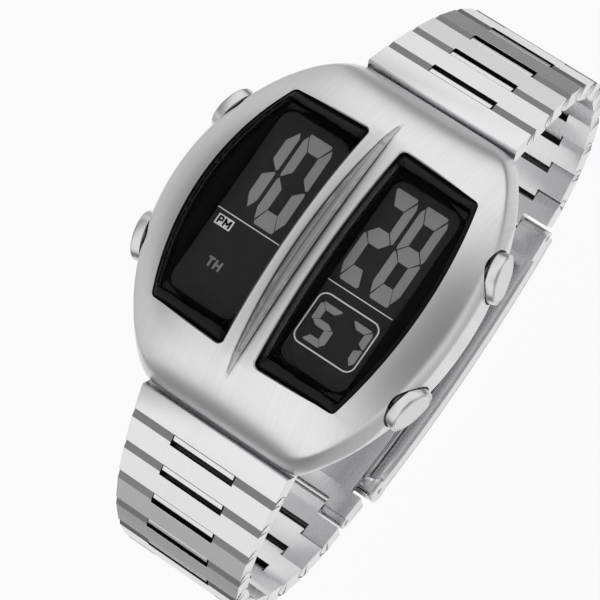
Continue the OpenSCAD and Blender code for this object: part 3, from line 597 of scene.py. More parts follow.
def pusherFrame(right, upper):
    # Takes a shape drawn along X from the side arc's centre to one pusher's axis
    turn = math.asin(pusherPlace["distance"] / caseShape["sideRadius"]) * (1 if upper else -1)
    if not right:
        turn = math.pi - turn
    return Matrix.Translation(Vector((-sideCentre if right else sideCentre, 0, pusherPlace["height"])) * mm) \
        @ Matrix.Rotation(turn, 4, "Z")


pusherFrames = {("upper_" if upper else "lower_") + ("right" if right else "left"): pusherFrame(right, upper)
                for right in (True, False) for upper in (True, False)}

# Rooms and groove: inset, half length, low and high. Bore and holes: place along the axis and radius
openings = {
    "rooms": [(4.9, 15.2, -1, 8.0), (2.95, 18.45, -1, 1.4)],
    "groove": (3.8, 16.3, 0.5, 1.9), "grooveWidth": 0.7,
    "bore": [(30, 0), (30, 1.05), (33.5, 1.05), (33.5, 1.78), (34.3, 1.78), (34.3, 1.05), (34.9, 1.05),
             (34.9, 1.75), (36.4, 1.75), (36.4, 3.3), (43, 3.3), (43, 0)],
    "pinHole": [(-12, 0), (-12, 0.45), (12, 0.45), (12, 0)], "pinPlace": (21.1, 1.43),
    "screwHole": [(0.4, 0), (0.4, 0.52), (4.4, 0.52), (4.4, 0)], "screwPlace": (9.5, 17.1),
    "lugHalf": 11.15, "lugRadius": 1.25, "lugLip": 1.68, "lugEnd": 24.5,
}


def lugOutline():
    (pinY, pinZ), radius, lip, end = (openings[key] for key in ("pinPlace", "lugRadius", "lugLip", "lugEnd"))
    arc = [(pinY + radius * math.cos(t), pinZ + radius * math.sin(t))
           for t in np.linspace(math.pi, math.asin((lip - pinZ) / radius), 24)]
    return [(pinY - radius, -1.0)] + arc + [(end, lip), (end, -1.0)]


def moved(mesh, x, y, z):
    mesh.transform(Matrix.Translation(Vector((x, y, z)) * mm))
    return mesh


def caseCutters():
    cutters = [windowCutter(False), windowCutter(True)] + [barrelCutter(*room) for room in openings["rooms"]]
    inset, halfLength, low, high = openings["groove"]
    width = openings["grooveWidth"]
    ring = addObject("groove", barrelCutter(inset, halfLength, low, high))
    cutAway(ring, barrelCutter(inset + width, halfLength - width, low - 1, high + 1))
    cutters.append(takeMesh(ring))
    for place in pusherFrames.values():
        hole = turned("pusherBore", openings["bore"])
        hole.transform(place)
        cutters.append(hole)
    pinY, pinZ = openings["pinPlace"]
    screwX, screwY = openings["screwPlace"]
    for side in (1, -1):
        cutters.append(extrudedAcross("lugCutter", np.array(lugOutline()) * [side, 1], openings["lugHalf"]))
        cutters.append(moved(turned("pinHole", openings["pinHole"], 32), 0, side * pinY, pinZ))
        for x in (-screwX, screwX):
            cutters.append(moved(aboutZ(turned("screwHole", openings["screwHole"], 32)), x, side * screwY, 0))
    return cutters


# Painted shade on the bar between the windows: how much darker it is, and how far that reaches
barPaintedShade = {"colour": (0.4, 0.4, 0.405, 1.0), "reach": 2.6, "length": 16.0, "above": 9}


def paintBarShade(mesh):
    # Darkens the case steel on the bar between the windows as painted shade, through the barShade attribute
    points = np.array([tuple(v.co) for v in mesh.vertices]) / mm
    share = np.clip(1 - (points[:, 1] / barPaintedShade["length"]) ** 2, 0, 1) ** 0.5
    shade = share * np.exp(-(points[:, 0] / barPaintedShade["reach"]) ** 4) * (points[:, 2] > barPaintedShade["above"])
    mesh.attributes.new("barShade", "FLOAT", "POINT").data.foreach_set("value", shade.astype(np.float32))
    tree = caseSteel.node_tree
    grain = next(node for node in tree.nodes if node.type == "GROUP")
    toned = mixColours(tree, addNode(tree, "ShaderNodeAttribute", attribute_name="barShade").outputs["Fac"],
                       (*steelLooks["caseSteel"][0], 1.0), barPaintedShade["colour"])
    tree.links.new(toned, grain.inputs["Colour"])


ridgeFinishAndShade = {"reach": 1.02, "above": 10, "facingUp": 0.4}


def smoothAndShadeRidge(mesh):
    # The ridge has a finer finish than the brushed steel round it, and a darker colour as painted shade
    mesh.materials.append(ridgeSteel)
    for face in mesh.polygons:
        x, y, z = face.center / mm
        share = max(0.0, 1 - (y / ridgeShape["halfLength"]) ** 2)
        onRidge = abs(x) < ridgeWidth(share) * ridgeFinishAndShade["reach"] and z > ridgeFinishAndShade["above"]
        face.material_index = int(onRidge and face.normal.z > ridgeFinishAndShade["facingUp"])


def makeCase():
    body = addObject("caseBody", makeCaseBody())
    for cutter in caseCutters():
        cutAway(body, cutter)
    mesh = takeMesh(body)
    placePiece("caseShell", mesh, caseSteel, "watch_head", ["case"], 32)
    paintBarShade(mesh)
    smoothAndShadeRidge(mesh)
    print("case", len(mesh.vertices))


makeCase()


# Crystals: pillowed glass that follows the arch

glassEdge = {"reach": 1.6, "drop": 0.75, "power": 2.3, "lift": 0.02,
             "rings": (0.0, 0.12, 0.26, 0.42, 0.62, 0.85, 1.1, 1.35, 1.6),
             "step": 0.7, "gridAcross": (3, 16), "gridAlong": (-15, 15.1), "gridHalf": 14.6, "arcClear": 1.2}
glassLook = {"tint": 0.96, "index": 1.06, "unevenness": 0.02, "border": (0.0035, 0.0035, 0.004),
             "borderWidth": 0.42, "borderStart": 2, "endBorder": 1.7, "borderIndex": 1.25,
             "borderShade": (0.8, 1.2), "borderRough": (0.3, 0.38)}


def distanceTo(outline, points):
    best = np.full(len(points), 1e9)
    for p, e in zip(outline, np.roll(outline, -1, 0) - outline):
        t = np.clip(((points - p) @ e) / (e @ e), 0, 1)
        best = np.minimum(best, np.linalg.norm(points - p - t[:, None] * e, axis=1))
    return best


def crystalMesh(mirrored):
    gap, step, rings = windowShape["glassGap"], glassEdge["step"], glassEdge["rings"]
    outline = windowOutline(gap)
    flat, edges = [], []
    for depth in rings:
        ring = windowOutline(gap + depth)
        start = len(flat)
        flat += [tuple(p) for p in ring]
        edges += [(start + k, start + (k + 1) % len(ring)) for k in range(len(ring))]
    # A grid of points inside the innermost ring
    inner = windowOutline(gap + rings[-1] + step * 0.5)
    grid = np.array([(x, y) for x in np.arange(*glassEdge["gridAcross"], step)
                     for y in np.arange(*glassEdge["gridAlong"], step)])
    across = np.hypot(grid[:, 0] - windowShape["reach"] + windowShape["radius"], grid[:, 1])
    clear = (distanceTo(outline, grid) > rings[-1] + step * 0.5) & (grid[:, 0] > inner[:, 0].min()) \
        & (across < windowShape["radius"] - glassEdge["arcClear"]) \
        & (np.abs(grid[:, 1]) < glassEdge["gridHalf"])
    flat += [tuple(p) for p in grid[clear]]
    found = delaunay_2d_cdt([Vector(p) for p in flat], edges, [tuple(range(len(outline)))], 1, 1e-7)
    xy = np.array([tuple(p) for p in found[0]])
    short = np.clip(1 - distanceTo(outline, xy) / glassEdge["reach"], 0, 1)
    pillow = glassEdge["drop"] * short ** glassEdge["power"]
    top = atHeight(xy, crownHeight(*xy.T) - pillow + glassEdge["lift"])
    low = atHeight(xy, crownHeight(*xy.T, windowShape["glassThickness"]))
    count = len(xy)
    faces = [tuple(f) for f in found[2]] + [tuple(count + v for v in reversed(f)) for f in found[2]]
    # Walls where only one triangle uses an edge
    uses = {(a, b): True for f in found[2] for a, b in zip(f, list(f[1:]) + [f[0]])}
    faces += [(a, count + a, count + b, b) for a, b in uses if (b, a) not in uses]
    points = np.concatenate([top, low])
    return solidFrom("crystal", points * [-1, 1, 1] if mirrored else points, faces)


def blackenEdge(mesh, material):
    mesh.materials.append(material)
    centres = np.array([tuple(face.center) for face in mesh.polygons])[:, :2] / mm
    centres[:, 0] = np.abs(centres[:, 0])
    near = (distanceTo(windowOutline(windowShape["glassGap"]), centres) < glassLook["borderWidth"]) \
        & (centres[:, 0] > windowShape["barHalf"] + glassLook["borderStart"])
    near |= np.abs(centres[:, 1]) > windowShape["halfLength"] - glassLook["endBorder"]
    sides = np.abs(np.array([face.normal.z for face in mesh.polygons])) < 0.1
    for face, black in zip(mesh.polygons, near | sides):
        face.material_index = int(black)


def makeGlass():
    material, shader = newMaterial("crystalGlass", Base_Color=grey(glassLook["tint"]), Roughness=0.0,
                                   IOR=glassLook["index"], Transmission_Weight=1.0)
    tree = material.node_tree
    clear = addNode(tree, "ShaderNodeBsdfTransparent", {"Color": grey(glassLook["tint"])})
    shadow = addNode(tree, "ShaderNodeLightPath").outputs["Is Shadow Ray"]
    feed(tree, tree.nodes["Material Output"].inputs["Surface"],
         mixShaders(tree, shadow, shader.outputs[0], clear.outputs[0]))
    addBump(tree, shader, stretchedNoise(tree, (60, 60, 60), 1), glassLook["unevenness"], 0.01)
    return material


def makeBorder():
    # Black enamel round the edge of each crystal
    material, shader = newMaterial("crystalBorder", IOR=glassLook["borderIndex"])
    tree = material.node_tree
    cloud = stretchedNoise(tree, (500, 500, 500), 2)
    shade = ranged(tree, cloud, 0.0, 1.0, *glassLook["borderShade"])
    feed(tree, shader.inputs["Base Color"], scaledColour(tree, glassLook["border"], shade))
    feed(tree, shader.inputs["Roughness"], ranged(tree, cloud, 0.0, 1.0, *glassLook["borderRough"]))
    return material


def makeCrystals():
    glass, border = makeGlass(), makeBorder()
    for side in ("left", "right"):
        crystal = placePiece("crystalGlass_" + side, crystalMesh(side == "left"), glass, "watch_head",
                             ["crystal_" + side], 85)
        blackenEdge(crystal.data, border)
    print("crystals")


makeCrystals()


# Displays: seven-part digits, marks and lines on the dark fields

segmentShapes = {
    "top": [(-1.5, 6.25), (1.35, 6.25), (1.46, 5.98), (0.7, 4.19), (-0.71, 4.19), (-1.56, 5.9)],
    "upperLeft": [(-1.63, 5.8), (-0.79, 4.1), (-0.79, 1.23), (-1.73, 0.1), (-1.9, 0.35), (-1.92, 5.1)],
    "middle": [(-1.6, 0.05), (-0.72, 1.12), (0.72, 1.12), (1.6, 0.05), (0.72, -1.05), (-0.72, -1.05)],
    "lowerLeft": [(-1.73, -0.1), (-0.72, -1.15), (-0.72, -4.0), (-1.42, -5.75), (-1.92, -4.4), (-1.9, -0.35)],
    "bottom": [(-0.64, -4.08), (0.68, -4.08), (1.42, -6.0), (1.24, -6.28), (-1.08, -6.28), (-1.3, -6.0)],
}
for half in ("upper", "lower"):
    segmentShapes[half + "Right"] = [(-x, y) for x, y in reversed(segmentShapes[half + "Left"])]
digitParts = {
    "0": ("top", "upperLeft", "upperRight", "lowerLeft", "lowerRight", "bottom"),
    "1": ("upperRight", "lowerRight"),
    "2": ("top", "upperRight", "middle", "lowerLeft", "bottom"),
    "5": ("top", "upperLeft", "middle", "lowerRight", "bottom"),
    "7": ("top", "upperRight", "lowerRight"),
    "8": tuple(segmentShapes),
}
letterStrokes = {
    "T": [(0, 0.08, 1, 0.08), (0.5, 0, 0.5, 1)],
    "H": [(0.12, 0, 0.12, 1), (0.88, 0, 0.88, 1), (0.1, 0.5, 0.9, 0.5)],
    "P": [(0.12, 0, 0.12, 1), (0.1, 0.08, 0.75, 0.08), (0.1, 0.54, 0.75, 0.54), (0.8, 0.04, 0.8, 0.58)],
    "M": [(0.1, 0, 0.1, 1), (0.9, 0, 0.9, 1), (0.1, 0.05, 0.5, 0.7), (0.5, 0.7, 0.9, 0.05)],
}
# Colour, unevenness and sheen of each ink, and heights of the prints
inkLooks = {"segmentInk": ((0.232, 0.232, 0.233), 0.05, 0.15), "lineInk": ((0.62, 0.62, 0.62), 0.04, 0.15),
            "displayField": ((0.019, 0.019, 0.0195), 0.05, 0.08),
            "maskInk": ((0.0022, 0.0022, 0.0024), 0.1, 0.03)}
inkHeights = {"face": 9.70, "ink": 0.015, "lineInk": 0.014, "markTop": 0.02}
digitSize = (3.9, 12.6)
# Digits by centre, width and height, letters by left, top, width, height and stroke, lines by ends and width
displayMarks = {
    "digitsRight": [("2", (5.64, 5.17), 3.85, 12.6), ("8", (9.95, 5.17), 3.9, 12.6),
                    ("5", (6.02, -6.77), 3.36, 5.06), ("7", (10.3, -6.77), 3.2, 5.06)],
    "lineRight": ((3.24, -1.87), (12.64, -1.87), 0.12), "frame": (3.6, -10.0, 12.3, -3.16, 1.2, 0.17),
    "digitsLeft": [("0", (-6.84, 5.03), 4.08, 12.54), ("1", (-11.6, 5.3), 4.6, 11.6)],
    "day": [("T", -10.2, -7.1, 0.86, 1.2, 0.26), ("H", -9.14, -7.1, 0.9, 1.2, 0.26)],
    "lineLeft": ((-13.6, -1.75), (-3.45, -1.75), 0.12), "plate": (-12.24, -3.64, -10.0, -2.3, 0.06, 2),
    "half": [("P", -12.02, -2.47, 0.72, 1.0, 0.24), ("M", -11.18, -2.47, 0.95, 1.0, 0.24)],
}
# Openings by far edge, half length, corner radius and level, and the near edges of both levels
maskShape = {"low": (12.88, 12.5, 1.6, 9.72), "high": (13.8, 12.9, 1.8, 12.4), "top": 15.0,
             "nearRight": (3.42, 2.98), "nearLeft": (3.3, 2.3)}


def digitPlates(digits):
    # The segments are drawn for a digit of digitSize
    return [[(centre[0] + x * width / digitSize[0], centre[1] + y * height / digitSize[1])
             for x, y in segmentShapes[part]]
            for digit, centre, width, height in digits for part in digitParts[digit]]


def linePlate(a, b, width):
    a, b = np.array(a, float), np.array(b, float)
    side = np.array([a[1] - b[1], b[0] - a[0]])
    side *= width / 2 / np.linalg.norm(side)
    return [tuple(a + side), tuple(b + side), tuple(b - side), tuple(a - side)]


def letterPlates(letters):
    return [linePlate((left + a * width, top - b * height), (left + c * width, top - d * height), thick)
            for letter, left, top, width, height, thick in letters for a, b, c, d in letterStrokes[letter]]


def roundedBox(x0, y0, x1, y1, radius, steps=8):
    points = []
    for cx, cy, start in ((x1 - radius, y1 - radius, 0), (x0 + radius, y1 - radius, 90),
                          (x0 + radius, y0 + radius, 180), (x1 - radius, y0 + radius, 270)):
        for k in range(steps + 1):
            t = math.radians(start + 90 * k / steps)
            points.append((cx + radius * math.cos(t), cy + radius * math.sin(t)))
    return points


def framePlates(x0, y0, x1, y1, radius, width):
    outer = roundedBox(x0, y0, x1, y1, radius)
    inner = roundedBox(x0 + width, y0 + width, x1 - width, y1 - width, radius - width)
    count = len(outer)
    return [[outer[k], outer[(k + 1) % count], inner[(k + 1) % count], inner[k]] for k in range(count)]


def plateMesh(name, plates, low, high):
    points, faces = [], []
    for plate in plates:
        start, n = len(points), len(plate)
        points += [(x, y, low) for x, y in plate] + [(x, y, high) for x, y in plate]
        faces.append(tuple(start + k for k in range(n - 1, -1, -1)))
        faces.append(tuple(start + n + k for k in range(n)))
        faces += [(start + k, start + (k + 1) % n, start + n + (k + 1) % n, start + n + k) for k in range(n)]
    return solidFrom(name, points, faces)


def inkMaterial(name):
    # Printed or dyed surface of the display, a little uneven
    colour, uneven, sheen = inkLooks[name]
    material, shader = newMaterial(name, Roughness=0.55, Specular_IOR_Level=sheen)
    tree = material.node_tree
    cloud = stretchedNoise(tree, (900, 900, 900), 3)
    shade = ranged(tree, cloud, 0.0, 1.0, 1 - uneven, 1 + uneven)
    feed(tree, shader.inputs["Base Color"], scaledColour(tree, colour, shade))
    addBump(tree, shader, cloud, 0.05, 0.01)
    return material


def makeMask(material):
    # The mask's openings flare upward, so that the fields show up to the bar
    piece = addObject("maskBody", copyOfNode("display_mask"))
    for side in (1, -1):
        rings = []
        nearEdges = maskShape["nearRight" if side > 0 else "nearLeft"]
        for near, (far, half, radius, level) in zip(nearEdges, (maskShape["low"], maskShape["high"])):
            outline = (np.array(roundedBox(near, -half, far, half, radius)) * [side, 1])[::side]
            rings.append(atHeight(outline, level))
        rings.append(rings[-1] + [0, 0, maskShape["top"] - maskShape["high"][3]])
        cutAway(piece, ringSolid("opening", rings))
    placePiece("maskShade", takeMesh(piece), material, "watch_head", ["display_mask"], 30)


def makeDisplays():
    heights, marks = inkHeights, displayMarks
    segmentInk, lineInk, fieldInk, maskInk = (inkMaterial(name) for name in inkLooks)
    for side in ("left", "right"):
        coatNode("lcd_" + side, fieldInk)
    makeMask(maskInk)

    def placeInk(name, plates, low, high, ink):
        mesh = plateMesh(name, plates, heights["face"] + low, heights["face"] + high)
        placePiece(name, mesh, ink, "watch_head", (), 0)

    placeInk("digitsRight", digitPlates(marks["digitsRight"]), 0, heights["ink"], segmentInk)
    lines = [linePlate(*marks["lineRight"])] + framePlates(*marks["frame"])
    placeInk("linesRight", lines, 0, heights["lineInk"], lineInk)
    figures = digitPlates(marks["digitsLeft"]) + letterPlates(marks["day"])
    placeInk("digitsLeft", figures, 0, heights["ink"], segmentInk)
    lines = [linePlate(*marks["lineLeft"]), roundedBox(*marks["plate"])]
    placeInk("linesLeft", lines, 0, heights["lineInk"], lineInk)
    placeInk("dayMark", letterPlates(marks["half"]), heights["lineInk"], heights["markTop"], maskInk)
    print("displays")


makeDisplays()


# Pushers: turned caps and stems with their clips, and coil springs

# Places from the side arc's centre, with radii
pusherShape = {
    "cap": [(38.85, 0), (38.85, 2.7), (38.79, 2.74), (38.79, 2.79), (38.85, 2.83), (38.84, 2.94),
            (38.78, 3.03), (38.68, 3.08), (38.58, 3.1), (37.6, 3.1), (37.45, 2.98), (37.45, 1.0),
            (33.03, 1.0), (33.03, 0.85), (32.67, 0.85), (32.67, 1.0), (32.2, 1.0), (32.1, 0.9), (32.1, 0)],
    "clip": [(33.0, 0.86), (33.0, 1.3), (32.98, 1.32), (32.72, 1.32), (32.7, 1.3), (32.7, 0.86)],
}
springShape = {"Turns": 4.5, "Coil Radius": 1.4, "Wire Radius": 0.15, "Start": 35.1, "Length": 2.15}


def makePushers():
    polished = brushedSteel("pusherSteel")
    for label, place in pusherFrames.items():
        work = bmesh.new()
        for part, profile in pusherShape.items():
            mesh = turned(part, profile, 96)
            work.from_mesh(mesh)
            bpy.data.meshes.remove(mesh)
        mesh = bpy.data.meshes.new("pusherCap_" + label)
        work.to_mesh(mesh)
        work.free()
        mesh.transform(place)
        pusher = "pusher_" + label
        placePiece("pusherCap_" + label, mesh, polished, pusher, [pusher], 35)
    print("pushers")


def newShapeTree(name, inputs):
    # A geometry node tree, with the kind of each input besides its geometry and its steel
    tree = bpy.data.node_groups.new(name, "GeometryNodeTree")
    for label, kind in {"Geometry": "Geometry", **inputs, "Steel": "Material"}.items():
        newSocket(tree, label, kind)
    newSocket(tree, "Geometry", "Geometry", "OUTPUT")
    return tree, tree.nodes.new("NodeGroupInput").outputs


def finishShapeTree(tree, geometry, steel):
    real = addNode(tree, "GeometryNodeRealizeInstances", {"Geometry": geometry})
    coated = addNode(tree, "GeometryNodeSetMaterial", {"Geometry": real.outputs[0], "Material": steel})
    tree.links.new(coated.outputs[0], tree.nodes.new("NodeGroupOutput").inputs[0])
    return tree


def grownMesh(tree, name, values):
    # The mesh that a node tree makes with these inputs
    holder = addObject(name, bpy.data.meshes.new(name))
    grow = holder.modifiers.new("grow", "NODES")
    grow.node_group = tree
    names = {item.name: item.identifier for item in tree.interface.items_tree if item.in_out == "INPUT"}
    for label, value in values.items():
        grow[names[label]] = value
    mesh = applied(holder)
    bpy.data.objects.remove(holder)
    mesh.name = name
    return mesh


def makeSpringTree():
    # A coil of round wire along X, between two places on a pusher's axis
    tree, given = newShapeTree("coilSpring", {label: "Float" for label in springShape})
    inMetres = {label: times(tree, given[label], mm) for label in springShape if label != "Turns"}
    spiral = addNode(tree, "GeometryNodeCurveSpiral", {
        "Resolution": 32, "Rotations": given["Turns"], "Start Radius": inMetres["Coil Radius"],
        "End Radius": inMetres["Coil Radius"], "Height": inMetres["Length"]})
    wire = addNode(tree, "GeometryNodeCurvePrimitiveCircle", {
        "Resolution": 10, "Radius": inMetres["Wire Radius"]})
    coil = addNode(tree, "GeometryNodeCurveToMesh", {
        "Curve": spiral.outputs[0], "Profile Curve": wire.outputs[0], "Fill Caps": True})
    turn = addNode(tree, "GeometryNodeTransform", {
        "Geometry": coil.outputs[0], "Rotation": (0, math.pi / 2, 0),
        "Translation": vectorOf(tree, X=inMetres["Start"])})
    return finishShapeTree(tree, turn.outputs[0], given["Steel"])


def makeSprings():
    wire = brushedSteel("springWire")
    tree = makeSpringTree()
    for label, place in pusherFrames.items():
        mesh = grownMesh(tree, "springCoil_" + label, {**springShape, "Steel": wire})
        faceOutward(mesh, 0.001)
        mesh.transform(place)
        coil = placePiece("springCoil_" + label, mesh, wire, "watch_head",
                          ["spring_" + label], 40)
        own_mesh(coil)
    print("springs")


makePushers()
makeSprings()


# Bracelet: one link shape, narrowed and set in place by a node tree

linkShape = {
    "pitch": 4.4, "halfThick": 1.15, "knuckle": 0.95, "relief": 1.12, "halfWidth": 11.0, "edge": 0.07,
    "faceStart": 0.525, "faceEnd": 3.875, "footStart": 0.625, "footEnd": 3.625, "lastEnd": 3.0,
    "notchHalf": 4.65, "notchEnd": 1.15, "notchLip": 0.95, "notchLipHeight": (0.72, 0.82),
    "tongueHalf": 4.5, "tongueStart": 1.65, "tongueStep": 0.3, "tongueDrop": 0.05, "tongueFlat": 0.2,
    "pinRadius": 0.4, "pinShort": 0.3, "firstPin": (21.1, 1.43), "taper": 0.375, "leastHalf": 8.0,
    "bends": (33.4, 4.4, 5.2, 10, 13, 14, 15, 15, 15, 15, 14, 12),
    "firstFaceStart": 1.68, "firstFaceDrop": 1.93, "firstFaceLength": 3.5, "faceGap": 1.05,
    "firstStep": (0.75, 0.4), "firstEdge": 0.15, "firstFoot": 0.8, "reliefReach": 52,
    # The tongue's step and tip: along from the face's end or the tip, and down from the tongue's top
    "stepFoot": (-0.02, 0.06), "stepEdge": ((0.07, 0.08), (0.14, 0)), "tipEdge": ((0, 0.04), (0.13, 0.14)),
}


def shifted(points, shift):
    return [(x + shift[0], y + shift[1]) for x, y in points]


def farSide(shift=(0, 0), last=False):
    # The far end of a link's side, from the top of its face round to its foot
    shape = linkShape
    pitch, half = shape["pitch"], shape["halfThick"]
    if last:
        return [(shape["lastEnd"], half), (shape["lastEnd"], -half)]
    lean = math.degrees(math.acos((pitch - shape["faceEnd"]) / shape["relief"]))
    points = [(shape["faceEnd"], half)] \
        + arcPoints((pitch, 0), shape["relief"], 180 - lean, 180 + shape["reliefReach"], 12) \
        + [(shape["footEnd"], -half)]
    return shifted(points, shift)


def tongueSide(shift=(0, 0)):
    # The narrow part that reaches into the next link's slot
    shape = linkShape
    pitch, half, faceEnd = shape["pitch"], shape["halfThick"], shape["faceEnd"]
    flatEnd, low, top = pitch + shape["tongueFlat"], half - shape["tongueStep"], half - shape["tongueDrop"]
    points = [(shape["tongueStart"], -half), (shape["tongueStart"], low)] \
        + [(faceEnd + past, low) for past in shape["stepFoot"]] \
        + [(faceEnd + past, top - under) for past, under in shape["stepEdge"]] \
        + [(flatEnd + past, top - under) for past, under in shape["tipEdge"]] \
        + arcPoints((pitch, 0), shape["knuckle"], 50, -95, 14) + [(shape["footEnd"], -half)]
    return shifted(points, shift)


def joinSolids(parts, cuts):
    piece = addObject("linkParts", parts[0])
    for part in parts[1:]:
        cutAway(piece, part, "UNION")
    for cut in cuts:
        cutAway(piece, cut)
    return takeMesh(piece)


# Faces this near to flat, in degrees, become one before the edges are rounded
flatAngle = 1.5


def roundEdges(mesh, width, angle=35, hollows=True):
    work = bmesh.new()
    work.from_mesh(mesh)
    bmesh.ops.remove_doubles(work, verts=work.verts, dist=weldGap * mm)
    bmesh.ops.dissolve_limit(work, angle_limit=math.radians(flatAngle), verts=work.verts, edges=work.edges)
    sharp = [e for e in work.edges if len(e.link_faces) == 2 and e.calc_face_angle(0) > math.radians(angle)
             and (hollows or e.is_convex)]
    bmesh.ops.bevel(work, geom=sharp, offset=width * mm, segments=2, profile=0.5, affect="EDGES",
                    clamp_overlap=True)
    bmesh.ops.triangulate(work, faces=[f for f in work.faces if len(f.verts) > 4])
    bmesh.ops.recalc_face_normals(work, faces=work.faces)
    work.to_mesh(mesh)
    work.free()
    return mesh


# Where the faces with painted shade lie: lowest heights, the tongue's hidden end and the step before it, and
# tilts
shadedRecessShape = {"slack": 0.01, "bandLow": 0.1, "faceDepth": 0.03, "faceTilt": 0.9, "tongueEnd": 4.95,
               "tongueLow": -0.3, "step": (3.575, 4.0), "stepLow": 0.2, "stepTilt": 0.4, "wallTilt": 0.6}


def markShadedRecesses(mesh, shift=(0, 0), first=False):
    # 1 is the band of painted shade on the near knuckle, 2 is the darker painted shade on the slot's walls
    # and the rear of the bar in it
    shape, recess = linkShape, shadedRecessShape
    slack, (stepStart, stepEnd) = recess["slack"], recess["step"]
    bandEnd, notchEnd = shape["faceStart"] - slack, shape["notchEnd"] + 2 * slack
    marks = mesh.attributes.new("recess", "INT", "FACE")
    for face in mesh.polygons:
        x, s, h = face.center / mm
        x, far, rise, along = abs(x), s - shift[0], h - shift[1], face.normal.y
        band = not first and x > shape["notchHalf"] and s < bandEnd and h > recess["bandLow"]
        onFace = face.normal.z > recess["faceTilt"] and h > shape["halfThick"] - recess["faceDepth"]
        notch = not first and not onFace and x < shape["notchHalf"] + slack and s < notchEnd
        tongue = x < shape["tongueHalf"] + slack and far > recess["tongueEnd"] and rise > recess["tongueLow"]
        step = x < shape["notchHalf"] and stepStart < far < stepEnd and rise > recess["stepLow"] \
            and along > recess["stepTilt"]
        wall = x > shape["tongueHalf"] and shape["footEnd"] < far < shape["faceEnd"] + slack \
            and along > recess["wallTilt"]
        marks.data[face.index].value = 2 if notch or tongue or step or wall else int(band)
    return mesh


def linkMesh(side, cuts=(), shift=(0, 0), first=False):
    bar = extrudedAcross("linkBar", side, linkShape["halfWidth"])
    tongue = extrudedAcross("linkTongue", tongueSide(shift), linkShape["tongueHalf"])
    return markShadedRecesses(roundEdges(joinSolids([bar, tongue], cuts), linkShape["edge"]), shift, first)


def plainLinkMesh(last):
    shape = linkShape
    half, end, lip = shape["halfThick"], shape["notchEnd"], shape["notchLip"]
    side = arcPoints((0, 0), shape["knuckle"], 265, 95, 14) + [(shape["faceStart"], half)] \
        + farSide(last=last) + [(shape["footStart"], -half)]
    # The notch is narrower at the face than below it
    lipFoot, lipTop = shape["notchLipHeight"]
    notch = [(-2, 2), (-2, -2), (end, -2), (end, lipFoot), (lip, lipTop), (lip, 2)]
    return linkMesh(side, [extrudedAcross("notch", notch, shape["notchHalf"])])


def firstLinkMesh():
    shape = linkShape
    drop, start = shape["firstFaceDrop"], shape["firstFaceStart"]
    farPin = (start + shape["firstFaceLength"] + shape["faceGap"] / 2, drop - shape["halfThick"])
    shift = (farPin[0] - shape["pitch"], farPin[1])
    step, edge = shape["firstStep"], shape["firstEdge"]
    side = arcPoints((0, 0), shape["knuckle"], 270, 60, 16) \
        + [step, (start, step[1]), (start, drop - edge), (start + edge, drop)] \
        + farSide(shift) + [(start + shape["firstFoot"], drop - 2 * shape["halfThick"])]
    return linkMesh(side, (), shift, True)


def makeLinkTree():
    # Narrows a link beyond its notch, turns it to its heading and sets it on its pin
    tree, given = newShapeTree("braceletLink", {
        "Shape": "Object", "Pin": "Object", "Near Half Width": "Float", "Far Half Width": "Float",
        "Length": "Float", "Heading": "Float", "Lower": "Float", "Place": "Vector"})
    shape = addNode(tree, "GeometryNodeObjectInfo", {"Object": given["Shape"]})
    parts = partsOf(tree, tree.nodes.new("GeometryNodeInputPosition").outputs[0])
    share = mathNode(tree, "DIVIDE", parts["Y"], times(tree, given["Length"], mm))
    change = minus(tree, given["Far Half Width"], given["Near Half Width"])
    wide = plus(tree, given["Near Half Width"], times(tree, share, change))
    inner = linkShape["notchHalf"]
    scale = mathNode(tree, "DIVIDE", minus(tree, wide, inner), linkShape["halfWidth"] - inner)
    size = mathNode(tree, "ABSOLUTE", parts["X"])
    beyond = mathNode(tree, "MAXIMUM", minus(tree, size, inner * mm), 0.0)
    across = plus(tree, mathNode(tree, "MINIMUM", size, inner * mm), times(tree, beyond, scale))
    signed = times(tree, mathNode(tree, "SIGN", parts["X"]), across)
    place = vectorOf(tree, X=signed, Y=parts["Y"], Z=parts["Z"])
    narrowed = addNode(tree, "GeometryNodeSetPosition", {"Geometry": shape.outputs["Geometry"],
                                                         "Position": place})
    # The pin goes through the near knuckles, a little short of the link's sides
    pin = addNode(tree, "GeometryNodeObjectInfo", {"Object": given["Pin"]})
    pinLength = minus(tree, given["Near Half Width"], linkShape["pinShort"])
    pins = addNode(tree, "GeometryNodeTransform", {"Geometry": pin.outputs["Geometry"],
                                                   "Scale": vectorOf(tree, X=pinLength, Y=1.0, Z=1.0)})
    both = tree.nodes.new("GeometryNodeJoinGeometry")
    for part in (narrowed, pins):
        tree.links.new(part.outputs[0], both.inputs[0])
    one = addNode(tree, "GeometryNodeGeometryToInstance", {0: both.outputs[0]})
    turn = vectorOf(tree, X=times(tree, given["Heading"], -math.pi / 180),
                    Z=times(tree, given["Lower"], math.pi))
    placed = addNode(tree, "GeometryNodeTransform", {"Geometry": one.outputs[0], "Rotation": turn,
                                                     "Translation": given["Place"]})
    return finishShapeTree(tree, placed.outputs[0], given["Steel"])


def placeLink(node, mesh):
    placePiece("steelLink_" + node, mesh, linkSteels[0], node, [node], 18)
    for steel in linkSteels[1:]:
        mesh.materials.append(steel)
    # Recessed faces take the band or slot steel, as painted shade
    marks = mesh.attributes["recess"]
    for face, mark in zip(mesh.polygons, marks.data):
        face.material_index = mark.value
    mesh.attributes.remove(marks)


